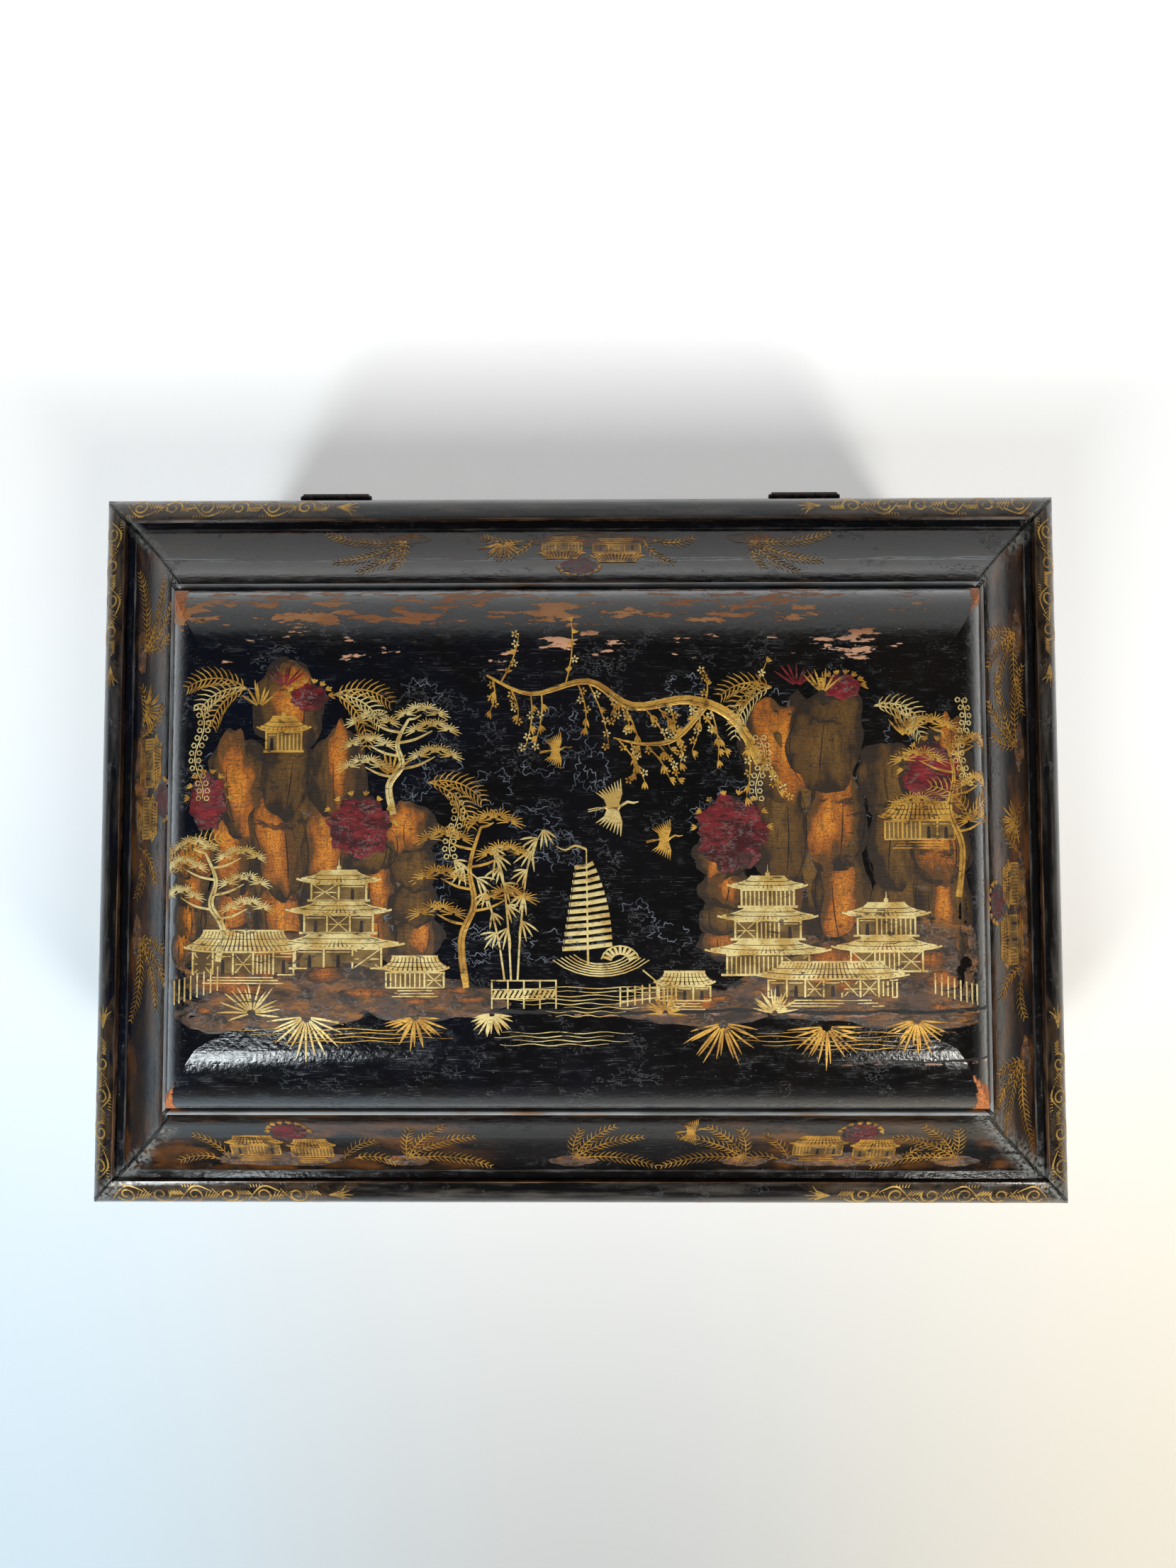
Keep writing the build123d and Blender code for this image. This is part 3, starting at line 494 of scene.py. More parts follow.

# %% [markdown]
# From its edge inward a moulding shows brown grounds under the gilt border, a greyed ovolo, a
# rubbed line at each step, a brown wash low in the hollow, and a lip painted light grey as a
# highlight on its rounded crest, with tan worn chips. The rim is chipped, and the mitres are
# scuffed and have opened. An image could hold all this, but rules on the distance from the edge
# follow the moulding at any size.

# %% Lid frame finish
def frame_finish(side, cool, chips, brown):
    """Black lacquer for one lid moulding, with its border grounds, rubbed lines and worn mitres."""
    material, net = new_finish(f"lid_frame_{side}")
    along, inset, z, mitre = moulding_place(net, side)
    height = net.math("SUBTRACT", z, LID_UNDERSIDE)
    grain = net.join(along, inset, height)
    base = net.use(lacquer, Grain=grain, Cool=cool, Dust=0.55)
    colour, roughness, relief = base["Colour"], base["Roughness"], base["Height"]

    in_cove = net.times(net.step(inset, COVE_FOOT, COVE_FOOT + 1.0),
                        net.step(inset, LIP_INSET, LIP_INSET - 4))
    clouds = net.noise(grain, 14, stretch=(2.2, 1, 1), detail=5, roughness=0.62)
    wash = net.times(net.step(clouds, 0.4, 0.56), net.step(inset, 41, 29))
    if side == "front":
        wash = net.times(wash, net.step(net.math("ABSOLUTE", along), 24, 60))
    washed = net.times(in_cove, wash, brown)
    tint = net.mix(net.step(net.noise(grain, 9, stretch=(2.5, 1, 1), detail=4), 0.42, 0.6),
                   shade(50, 34, 22), shade(106, 64, 26))
    colour = net.mix(net.times(washed, 0.85), colour, tint)

    border_end = BORDER_END_LONG if side in ("front", "back") else BORDER_END_SHORT
    turn_in = net.times(net.math("SINE", net.times(inset, 0.42)), 4.0)
    on_border = net.times(net.step(inset, OVOLO_EDGE, OVOLO_EDGE - 0.4),
                          net.step(net.math("SUBTRACT", net.math("ABSOLUTE", along), turn_in),
                                   border_end - 0.5, border_end + 0.5))
    colour = net.mix(net.times(on_border, net.step(net.noise(grain, 5, detail=4), 0.3, 0.6), 0.8),
                     colour, shade(66, 50, 33))
    ovolo = net.step(inset, OVOLO_EDGE + 0.2, OVOLO_EDGE - 0.3)
    greyed = net.times(ovolo, net.step(net.noise(grain, 3.0, stretch=(8, 1, 1), detail=5), 0.42, 0.75))
    colour = net.mix(net.times(greyed, 0.42), colour, shade(112, 105, 97))

    for middle, width, tone in (
        (OVOLO_EDGE, 0.5, shade(138, 104, 78)),
        (COVE_FOOT, 0.5, shade(112, 110, 108)),
    ):
        worn = net.use(rubbed, Across=net.away(inset, middle), Grain=grain, Width=width, Broken=0.75)
        colour = net.mix(net.times(worn["Mask"], 0.75), colour, tone)
    # Painted highlight: the lip's crest is painted light grey, with tan worn chips mixed in.
    lip = net.times(net.step(inset, LIP_INSET - 0.25, LIP_INSET + 0.1), net.step(height, 51.0, 53.4))
    patchy = net.step(net.noise(grain, 4.0, stretch=(6, 1, 1), detail=5), 0.3, 0.6, 0.45, 1.0)
    lip_highlight_and_chips = net.mix(net.step(net.noise(grain, 9, stretch=(5, 1, 1), detail=4), 0.52, 0.62),
                       shade(170, 172, 174), shade(176, 140, 112))
    colour = net.mix(net.times(lip, patchy, 0.9), colour, lip_highlight_and_chips)

    rim = net.most(net.times(net.step(net.away(height, 0.6), 3.2, 1.4), net.step(inset, 9, 4)),
                   net.step(inset, 2.4, 0.4))
    amount = net.most(net.times(rim, chips), net.times(net.step(mitre, 12, 0), 0.42), 0.04)
    lost = net.use(flakes, Grain=grain, Amount=amount)
    colour = net.mix(lost["Mask"], colour, lost["Colour"])
    colour = net.mix(net.times(lost["Edge"], 0.7), colour, shade(18, 14, 12))

    battered = 0.0
    if side in ("front", "right"):
        battered = net.times(net.step(net.times(along, 1.0 if side == "front" else -1.0), 60, 140), 0.2)
    near_mitre = net.math("ADD", net.math("ABSOLUTE", mitre),
                          net.noise(grain, 3.0, detail=5, roughness=0.7))
    reach = 9.5 if side in ("front", "right") else 5.6
    scuffed = net.times(net.step(near_mitre, reach, 1.2),
                        net.step(net.noise(grain, 1.6, detail=5), 0.36, 0.62),
                        net.step(net.math("ADD", net.noise(grain, 15, detail=3), battered), 0.40, 0.56))
    colour = net.mix(net.times(scuffed, 0.85), colour, shade(134, 136, 132))
    split = net.math("ADD", mitre, net.times(net.noise(grain, 2.5, detail=3), 0.8))
    opened = net.step(net.away(split, 0.95), 0.42, 0.2)
    colour = net.mix(opened, colour, shade(6, 6, 7))
    relief = net.math("SUBTRACT", relief, net.times(net.most(opened, lost["Mask"]), 2.4))

    if side == "back":
        joint = net.math("ADD", net.away(inset, RAIL_JOINT_INSET),
                         net.times(net.noise(grain, 14, stretch=(1, 0.1, 0.1), detail=4), 2.4))
        crack = net.step(net.away(joint, 1.25), 0.34, 0.12)
        run = net.step(net.noise(grain, 18, stretch=(1, 0.1, 0.1), detail=2), 0.42, 0.52)
        colour = net.mix(net.times(crack, run), colour, shade(8, 8, 10))
        beside = net.step(net.away(joint, 1.7), 0.4, 0.15)
        colour = net.mix(net.times(beside, run, 0.7), colour, shade(150, 154, 160))

    inner = net.step(inset, 45.7, 45.9)
    hidden = net.times(inner, net.step(height, 43.0, 42.0))
    under = net.use(bare_wood_group, Grain=grain)
    colour = net.mix(hidden, colour, under["Colour"])
    roughness = net.math("MAXIMUM", roughness, net.times(net.most(hidden, lost["Mask"], scuffed), 0.72))
    net.surface(colour, roughness, relief, depth=0.06, gloss=LACQUER_GLOSS)
    return material


# %% [markdown]
# The cushion panel is worn most. Its back slope has lost long flakes, the feet of its four ridges
# are rubbed to bare orange wood, and a crack with pink losses runs along the front edge.

# %% Cushion panel
PANEL_HALF_WIDTH, PANEL_HALF_DEPTH, PANEL_LEVEL = 133.95, 85.95, 153.2


def panel_finish():
    """The cushion's lacquer, with its flakes, bare feet, cracks, and wood on its hidden underside."""
    material, net = new_finish("lid_panel")
    place = net.place()
    x, y, z = net.parts(place)
    grain = net.join(x, y, net.math("SUBTRACT", z, PANEL_LEVEL))
    base = net.use(lacquer, Grain=grain, Cool=net.step(x, 90, -100), Dust=1.0)
    colour, roughness, relief = base["Colour"], base["Roughness"], base["Height"]

    reach = net.step(net.math("ABSOLUTE", x), 134, 100)
    strong = net.times(net.step(y, 65, 73), net.step(y, 86, 82), net.step(x, 120, 60, 0.65, 1.0))
    medium = net.times(net.step(y, 50, 60), 0.6)
    edges = net.times(net.step(net.away(y, FRONT_CRACK["Level"]), 4.5, 0.5), net.step(x, 0, 30), 0.5)
    amount = net.most(net.times(strong, 0.82), net.times(medium, reach), edges, 0.1)
    lost = net.use(flakes, Grain=grain, Amount=amount)
    fresh = net.mix(net.times(net.step(y, 70, 64), 0.7), lost["Colour"], shade(226, 172, 140))
    colour = net.mix(lost["Mask"], colour, fresh)
    colour = net.mix(net.times(lost["Edge"], 0.8), colour, shade(16, 12, 11))

    far_x = net.math("SUBTRACT", PANEL_HALF_WIDTH, net.math("ABSOLUTE", x))
    far_y = net.math("SUBTRACT", PANEL_HALF_DEPTH, net.math("ABSOLUTE", y))
    across = net.math("ABSOLUTE", net.math("SUBTRACT", net.times(far_x, 0.82), net.times(far_y, 0.57)))
    from_foot = net.math("ADD", net.times(net.math("ADD", far_x, far_y), 0.34), net.times(across, 1.5))
    tattered = net.math("ADD", from_foot, net.times(net.noise(grain, 2.0, detail=6, roughness=0.75), 9.0))
    favoured = net.step(net.times(x, y), -3000, 3000, 2.6, 0.2)
    bare = net.step(net.math("SUBTRACT", tattered, favoured), 10.2, 9.8)
    stripes = net.noise(grain, 0.6, stretch=(1, 5, 1), detail=3)
    feet = net.mix(net.step(stripes, 0.4, 0.65), shade(204, 120, 56), shade(128, 68, 30))
    colour = net.mix(bare, colour, feet)

    cracked = 0.0
    for sizes in (FRONT_CRACK, SLOPE_CRACK):
        crack = net.use(long_crack, Place=place, **sizes)
        colour = net.mix(net.times(crack["Pale"], 0.8), colour, shade(196, 142, 116))
        colour = net.mix(crack["Mask"], colour, shade(8, 6, 6))
        cracked = net.most(cracked, crack["Mask"])

    # Painted sheen: a grey band along the cushion's foot, away from the front, lightens the dark groove
    # beside the lip.
    foot_sheen = net.times(net.step(net.math("MINIMUM", far_x, far_y), 1.6, 0.2), net.step(y, -70, -40))
    colour = net.mix(net.times(foot_sheen, net.step(net.noise(grain, 3, detail=5), 0.35, 0.55), 0.8), colour,
                     shade(124, 127, 132))
    hidden = net.step(z, PANEL_LEVEL + 0.4, PANEL_LEVEL + 0.1)
    under = net.use(bare_wood_group, Grain=grain)
    colour = net.mix(hidden, colour, under["Colour"])
    sunk = net.most(cracked, lost["Mask"], bare)
    relief = net.math("SUBTRACT", relief, net.times(sunk, 1.8))
    roughness = net.math("MAXIMUM", roughness, net.times(net.most(sunk, hidden), 0.68))
    net.surface(colour, roughness, relief, depth=0.14, gloss=0.5)
    return material


# %% [markdown]
# The case walls are lacquered outside and bare inside. One finish does both: it tells the inside
# from the outside by the distance from the middle of the box. The base moulding is the same
# lacquer, rubbed brown where it has slid on tables.

# %% Case walls
CASE_HALF_WIDTH, CASE_HALF_DEPTH, CASE_TOP = 172.0, 124.0, 108.0


def case_finish(name, grain_runs):
    """Lacquer outside, wood inside, rubbed corners and a scuffed foot."""
    material, net = new_finish(name)
    x, y, z = net.parts(net.place())
    grain = net.join(x, y, z) if grain_runs == "x" else net.join(y, x, z)
    base = net.use(lacquer, Grain=grain, Cool=0.35, Dust=0.6)
    colour, roughness, relief = base["Colour"], base["Roughness"], base["Height"]
    in_x = net.math("SUBTRACT", CASE_HALF_WIDTH, net.math("ABSOLUTE", x))
    in_y = net.math("SUBTRACT", CASE_HALF_DEPTH, net.math("ABSOLUTE", y))
    corner = net.most(in_x, in_y)
    worn = net.use(rubbed, Across=corner, Grain=net.join(z, x, y), Width=1.6, Broken=0.6)
    colour = net.mix(net.times(worn["Mask"], 0.7), colour, shade(122, 88, 62))
    top = net.use(rubbed, Across=net.away(z, CASE_TOP), Grain=grain, Width=1.2, Broken=0.5)
    colour = net.mix(net.times(top["Mask"], 0.8), colour, shade(132, 92, 62))
    amount = net.most(net.times(net.step(corner, 9, 0), 0.5), net.times(net.step(z, 34, 24), 0.3), 0.08)
    lost = net.use(flakes, Grain=grain, Amount=amount)
    colour = net.mix(lost["Mask"], colour, lost["Colour"])
    colour = net.mix(net.times(lost["Edge"], 0.7), colour, shade(18, 14, 12))
    roughness = net.math("MAXIMUM", roughness, net.times(lost["Mask"], 0.7))
    inside = net.step(net.math("MINIMUM", in_x, in_y), 0.5, 0.9)
    under = net.use(bare_wood_group, Grain=grain)
    colour = net.mix(inside, colour, under["Colour"])
    roughness = net.math("MAXIMUM", roughness, net.times(inside, 0.7))
    net.surface(colour, roughness, net.math("SUBTRACT", relief, net.times(lost["Mask"], 1.8)), depth=0.06)
    return material


print("case finish is ready")

# %% Base moulding
def base_finish(side):
    """The base moulding: browner lacquer with rubbed arrises and a battered foot."""
    material, net = new_finish(f"base_{side}")
    along, inset, z, mitre = moulding_place(net, side)
    grain = net.join(along, inset, z)
    base = net.use(lacquer, Grain=grain, Cool=0.1, Dust=0.5)
    colour, roughness, relief = base["Colour"], base["Roughness"], base["Height"]
    for level, width in ((12.0, 0.9), (21.0, 0.7), (0.0, 1.4)):
        worn = net.use(rubbed, Across=net.away(z, level), Grain=grain, Width=width, Broken=0.5)
        colour = net.mix(net.times(worn["Mask"], 0.75), colour, shade(136, 96, 66))
    amount = net.most(net.times(net.step(z, 8, 0), 0.5), net.times(net.step(mitre, 14, 0), 0.5), 0.14)
    lost = net.use(flakes, Grain=grain, Amount=amount)
    colour = net.mix(lost["Mask"], colour, lost["Colour"])
    split = net.step(net.math("ABSOLUTE", mitre), 0.4, 0.2)
    colour = net.mix(split, colour, shade(7, 6, 6))
    under = net.use(bare_wood_group, Grain=grain)
    hidden = net.most(net.step(z, 0.2, 0.05), net.step(inset, 7.9, 8.0))
    colour = net.mix(hidden, colour, under["Colour"])
    roughness = net.math("MAXIMUM", roughness, net.times(net.most(lost["Mask"], hidden), 0.7))
    net.surface(colour, roughness, net.math("SUBTRACT", relief, net.times(lost["Mask"], 1.8)), depth=0.06)
    return material


print("base finish is ready")

# %% Plain wood
def plain_wood(name, grain_runs):
    """Softwood with nothing on it."""
    material, net = new_finish(name)
    x, y, z = net.parts(net.place())
    grain = net.join(x, y, z) if grain_runs == "x" else net.join(y, x, z)
    wood = net.use(bare_wood_group, Grain=grain)
    net.surface(wood["Colour"], wood["Roughness"], wood["Height"], depth=0.05)
    return material


print("plain wood is ready")

# %% [markdown]
# Hinges and nails are hand-forged iron, nearly black, with rust in the hollows. The lock is filed
# iron that is still grey. The keyhole plate is gilt brass, darkened where no finger polishes it.

# %% Forged iron
def forged_iron(name, dark, light, rust, metallic, roughness):
    """Hammered iron: uneven tone, pits and rust in patches."""
    material, net = new_finish(name)
    place = net.place()
    hammered = net.noise(place, 2.6, detail=4)
    pits = net.noise(place, 0.45, detail=4, roughness=0.7)
    colour = net.mix(net.step(hammered, 0.35, 0.65), dark, light)
    rusty = net.times(net.step(net.noise(place, 4.2, detail=5, roughness=0.7), 0.52, 0.66), rust)
    colour = net.mix(rusty, colour, net.mix(pits, shade(58, 30, 18), shade(122, 66, 34)))
    relief = net.math("ADD", hammered, net.times(pits, 0.5))
    dull = net.math("ADD", net.step(hammered, 0.3, 0.7, roughness, roughness + 0.15), net.times(rusty, 0.3))
    shine = net.math("SUBTRACT", metallic, net.times(rusty, metallic))
    net.surface(colour, dull, relief, depth=0.12, metallic=shine)
    return material


print("iron is ready")

# %% Gilt brass
def gilt_brass(name):
    """Brass with old gilding: bright on the high spots, brown-green in between."""
    material, net = new_finish(name)
    place = net.place()
    tarnish = net.step(net.noise(place, 4.0, detail=5, roughness=0.65), 0.42, 0.66)
    scratch = net.noise(place, 0.3, stretch=(8, 1, 1), detail=3)
    colour = net.mix(tarnish, shade(222, 178, 92), shade(104, 78, 40))
    colour = net.mix(net.step(scratch, 0.6, 0.75, 0.0, 0.4), colour, shade(240, 206, 130))
    net.surface(colour, net.step(tarnish, 0.0, 1.0, 0.26, 0.5), net.math("ADD", tarnish, scratch),
                depth=0.02, metallic=0.9)
    return material


print("brass is ready")

# %% [markdown]
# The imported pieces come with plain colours. Each one's material slots are emptied and filled with
# its finish, and its mesh stays as it is. The four mouldings are worn in different ways, so each
# side has a finish of its own, and pieces of one metal share one.

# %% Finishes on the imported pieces
def wear(names, material):
    """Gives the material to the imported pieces, in place of what they came with."""
    for name in names:
        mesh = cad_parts[name].data
        mesh.materials.clear()
        mesh.materials.append(material)


for side, cool, chips, brown in (("front", 0.15, 0.82, 1.0), ("back", 0.6, 0.3, 0.25),
                                 ("left", 1.0, 0.55, 0.7), ("right", 0.2, 0.6, 0.85)):
    finish = frame_finish(side, cool, chips, brown)
    wear([f"lid_lower_rail_{side}", f"lid_upper_rail_{side}"], finish)
    wear([f"base_moulding_{side}"], base_finish(side))
wear(["lid_panel"], panel_finish())
wear(["front_board", "back_board"], case_finish("case_long", "x"))
wear(["left_end_board", "right_end_board"], case_finish("case_ends", "y"))
wear(["bottom_board"], plain_wood("bottom_wood", "x"))
wear(["lid_glue_blocks"], plain_wood("block_wood", "x"))
hinge_iron = forged_iron("hinge_iron", shade(16, 13, 13), shade(44, 38, 36), 0.5, 0.7, 0.42)
nail_iron = forged_iron("nail_iron", shade(30, 27, 26), shade(66, 60, 56), 0.9, 0.6, 0.5)
lock_metal = forged_iron("lock_metal", shade(70, 68, 66), shade(120, 116, 110), 0.35, 0.85, 0.36)
by_finish = {
    hinge_iron: ["hinge_leaf_", "hinge_pin_"],
    nail_iron: ["hinge_nails_", "bottom_nails", "lid_rail_nails", "base_moulding_brads", "lock_nails",
                "link_plate_nails"],
    lock_metal: ["lock_plate", "lock_bolt", "lock_spring", "lock_key_pin", "lock_guide_studs"],
    gilt_brass("gilt_plate"): ["escutcheon"],
}
for material, starts in by_finish.items():
    wear([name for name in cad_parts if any(name.startswith(s) for s in starts)], material)
wear(["link_plate"], lock_metal)
print("finishes on", sum(1 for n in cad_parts.values() if n.data.materials[0]), "pieces")

# %% [markdown]
# The decoration is raised work: gold size and coloured paste laid on the lacquer, a tenth of a
# millimetre thick, and gilded or dusted with bronze powder. Drawing it with operators would take
# thousands of calls, so this part is made in mesh code. A ground is a face of the box that is drawn
# on, flat as the decorator sees it. Every point drawn there is dropped onto the real surface.

# %% Grounds to draw on
FAR = 0.4


class Ground:
    """A face of the box, with places on it in millimetres across and up."""

    def __init__(self, names, origin, across, up, away):
        corners, faces = [], []
        for name in names:
            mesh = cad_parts[name].data
            start = len(corners)
            corners += [vertex.co.copy() for vertex in mesh.vertices]
            faces += [[start + corner for corner in face.vertices] for face in mesh.polygons]
        self.surface = BVHTree.FromPolygons(corners, faces)
        self.origin, self.across, self.up, self.away = (Vector(v) for v in (origin, across, up, away))

    def spot(self, u, v):
        """The point of the surface at this place, and the way straight out of it."""
        start = self.origin + (self.across * u + self.up * v) * MM + self.away * FAR
        point, normal, _, _ = self.surface.ray_cast(start, -self.away)
        if point is None:
            return None
        return point, normal if normal.dot(self.away) > 0 else -normal


LID_NAMES = ["lid_panel"] + [f"lid_{level}_rail_{side}" for level in ("lower", "upper")
                             for side in ("front", "back", "left", "right")]
WALL_MIDDLE = 0.0655
CASE_X, CASE_Y = 0.172, 0.124
END_WALLS, LONG_WALLS = ["left_end_board", "right_end_board"], ["front_board", "back_board"]
CASE_SIDES = {
    "front": (["front_board"] + END_WALLS, (0, -CASE_Y, WALL_MIDDLE), (1, 0, 0), (0, -1, 0)),
    "back": (["back_board"] + END_WALLS, (0, CASE_Y, WALL_MIDDLE), (-1, 0, 0), (0, 1, 0)),
    "left": (["left_end_board"] + LONG_WALLS, (-CASE_X, 0, WALL_MIDDLE), (0, -1, 0), (-1, 0, 0)),
    "right": (["right_end_board"] + LONG_WALLS, (CASE_X, 0, WALL_MIDDLE), (0, 1, 0), (1, 0, 0)),
}
lid_ground = Ground(LID_NAMES, (0, 0, 0), (1, 0, 0), (0, 1, 0), (0, 0, 1))
case_grounds = {side: Ground(names, origin, across, (0, 0, 1), away)
                for side, (names, origin, across, away) in CASE_SIDES.items()}
print("grounds:", 1 + len(case_grounds))

# %% [markdown]
# Gilding has worn unevenly: some of it is still bright, some has gone brown, and in places the
# lacquer shows through. Pale gold is on roofs and railings, a warmer gold on the trees. Rocks are
# brown bronze with streaks of orange bronze, earth is a mottled paste, and bushes are crimson.

# %% Old gilding
def gilding(name, bright, deep, worn):
    """Old gold leaf, with the amount that has worn down to brown and black."""
    material, net = new_finish(name)
    place = net.place()
    tone = net.step(net.noise(place, 6.0, detail=4), 0.36, 0.62)
    colour = net.mix(tone, deep, bright)
    grains = net.noise(place, 0.5, stretch=(3, 1, 1), detail=3)
    colour = net.mix(net.step(grains, 0.52, 0.7, 0.0, 0.55), colour, shade(92, 62, 26))
    loss = net.noise(place, 2.2, stretch=(2.6, 1, 1), detail=6, roughness=0.7)
    gone = net.step(loss, 0.66 - 0.22 * worn, 0.69 - 0.22 * worn)
    colour = net.mix(net.times(gone, 0.85), colour, shade(30, 24, 20))
    shine = net.times(net.math("SUBTRACT", 1.0, gone), 0.35)
    net.surface(colour, net.step(grains, 0.3, 0.7, 0.36, 0.55), grains, depth=0.03, metallic=shine)
    return material


print("gilding is ready")

# %% Rock and earth paints
def crossed_by_crack(net, place, colour):
    """The colour with the cushion's long crack through it."""
    crack = net.use(long_crack, Place=place, **FRONT_CRACK)
    colour = net.mix(net.times(crack["Pale"], 0.8), colour, shade(176, 128, 104))
    return net.mix(crack["Mask"], colour, shade(10, 7, 6))


def rock_paint(name, edge, body, core):
    """Bronze powder dusted on paste: dark at the edge, brightest inside, and finely grained."""
    material, net = new_finish(name)
    place = net.place()
    cloud = net.noise(place, 6.0, stretch=(1, 2.2, 1), detail=4)
    reach = net.math("ADD", net.attribute("inward"), net.step(cloud, 0.25, 0.75, -0.35, 0.35))
    colour = net.mix(net.step(reach, 0.06, 0.38), edge, body)
    colour = net.mix(net.step(reach, 0.35, 0.9), colour, core)
    powder = net.noise(place, 0.55, detail=4, roughness=0.75)
    colour = net.mix(net.step(powder, 0.46, 0.6, 0.0, 0.62), colour, shade(52, 36, 22))
    falls = net.noise(place, 1.5, stretch=(1, 6, 1), detail=4)
    colour = net.mix(net.step(falls, 0.5, 0.66, 0.0, 0.5), colour, edge)
    lines = net.noise(place, 0.45, stretch=(10, 1, 1), detail=3)
    colour = net.mix(net.step(lines, 0.54, 0.66, 0.0, 0.5), colour, shade(26, 20, 15))
    loss = net.noise(place, 5.0, stretch=(2.0, 1, 1), detail=7, roughness=0.7)
    colour = net.mix(net.step(loss, 0.59, 0.63, 0.0, 0.8), colour, shade(30, 25, 23))
    veil = net.step(net.noise(place, 2.8, stretch=(2, 1, 1), detail=6, roughness=0.7), 0.64, 0.68)
    colour = net.mix(net.times(veil, 0.45), colour, shade(118, 104, 92))
    colour = crossed_by_crack(net, place, colour)
    net.surface(colour, net.step(lines, 0.3, 0.7, 0.42, 0.62), lines, depth=0.05, metallic=0.1)
    return material


def paste_paint(name, first, second, third, veil_amount):
    """Coloured paste that has mottled and greyed, with specks and a worm-like net of losses."""
    material, net = new_finish(name)
    place = net.place()
    blotch = net.noise(place, 4.5, stretch=(2.0, 1, 1), detail=7, roughness=0.7)
    colour = net.mix(net.step(blotch, 0.43, 0.50), first, second)
    colour = net.mix(net.step(blotch, 0.55, 0.60), colour, third)
    lines = net.noise(place, 0.45, stretch=(8, 1, 1), detail=3)
    colour = net.mix(net.step(lines, 0.5, 0.68, 0.0, 0.5), colour, shade(24, 18, 17))
    specks = net.step(net.noise(place, 0.6, stretch=(2.5, 1, 1), detail=3), 0.64, 0.7)
    worms = net.away(net.noise(place, 1.9, stretch=(1.7, 1, 1), detail=4), 0.5)
    veil = net.times(net.step(worms, 0.03, 0.01), net.step(net.noise(place, 7, detail=4), 0.44, 0.56))
    greyed = net.times(net.most(veil, net.times(specks, 0.6)), veil_amount)
    colour = net.mix(greyed, colour, shade(130, 118, 110))
    haze = net.step(net.noise(place, 9, stretch=(1.8, 1, 1), detail=6, roughness=0.65), 0.5, 0.62)
    colour = net.mix(net.times(haze, veil_amount, 0.6), colour, shade(84, 70, 68))
    torn = net.noise(place, 2.6, stretch=(2, 1, 1), detail=6, roughness=0.7)
    ragged = net.math("ADD", net.attribute("inward"), net.step(torn, 0.3, 0.7, -0.1, 0.25))
    colour = net.mix(net.step(ragged, 0.02, 0.12), shade(24, 19, 17), colour)
    colour = crossed_by_crack(net, place, colour)
    net.surface(colour, net.step(blotch, 0.3, 0.7, 0.38, 0.6), net.math("ADD", blotch, veil), depth=0.08)
    return material


print("paints are ready")

# %% Thin lines and the list of inks
def thin_line(name, colour_one, colour_two):
    """A drawn line of one colour that comes and goes."""
    material, net = new_finish(name)
    place = net.place()
    tone = net.step(net.noise(place, 3.0, detail=5), 0.38, 0.62)
    net.surface(net.mix(tone, colour_one, colour_two), net.step(tone, 0, 1, 0.4, 0.6), tone, depth=0.02)
    return material


INK_ROWS = (
    ("grey_veil", thin_line, ((58, 63, 74), (112, 119, 130)), (), 0.05),
    ("brown_bronze", rock_paint, ((42, 27, 11), (98, 66, 23), (126, 88, 32)), (), 0.03),
    ("orange_bronze", rock_paint, ((104, 66, 26), (186, 104, 28), (234, 144, 42)), (), 0.034),
    ("cleft", thin_line, ((20, 15, 12), (40, 28, 18)), (), 0.15),
    ("crimson", paste_paint, ((66, 8, 14), (114, 13, 22), (140, 24, 32)), (0.55,), 0.155),
    ("earth", paste_paint, ((50, 35, 22), (98, 64, 30), (146, 92, 38)), (0.75,), 0.16),
    ("earth_glow", rock_paint, ((70, 48, 28), (134, 76, 26), (190, 106, 32)), (), 0.168),
    ("border_gold", gilding, ((200, 158, 76), (140, 106, 52)), (0.4,), 0.07),
    ("wall_gold", gilding, ((140, 110, 62), (92, 70, 40)), (0.3,), 0.176),
    ("old_gold", gilding, ((232, 180, 80), (178, 126, 48)), (0.34,), 0.19),
    ("pale_gold", gilding, ((248, 226, 158), (212, 174, 96)), (0.28,), 0.19),
    ("dark_line", thin_line, ((20, 14, 12), (44, 26, 16)), (), 0.21),
)
INKS = {name: (finish(name, *(shade(*tone) for tone in tones), *amounts), height)
        for name, finish, tones, amounts, height in INK_ROWS}
print("inks:", ", ".join(INKS))

# %% [markdown]
# A coat is all the work in one colour on one face, and becomes one piece. It holds two things.
# A stroke is a closed bar with bevelled sides that follows a line and can taper. A pad is a low
# domed patch inside an outline. Both start just below the lacquer, so that nothing floats.

# %% A coat of strokes and pads
SUNK = 0.04
PAD_RINGS = (0.0, 0.35, 0.65, 0.88, 1.0)
PAD_DOME = (1.0, 1.0, 0.98, 0.92, 0.5)
ROCK_DOME = (1.0, 1.0, 1.0, 0.99, 0.95)
ROCK_LAYER = 0.009


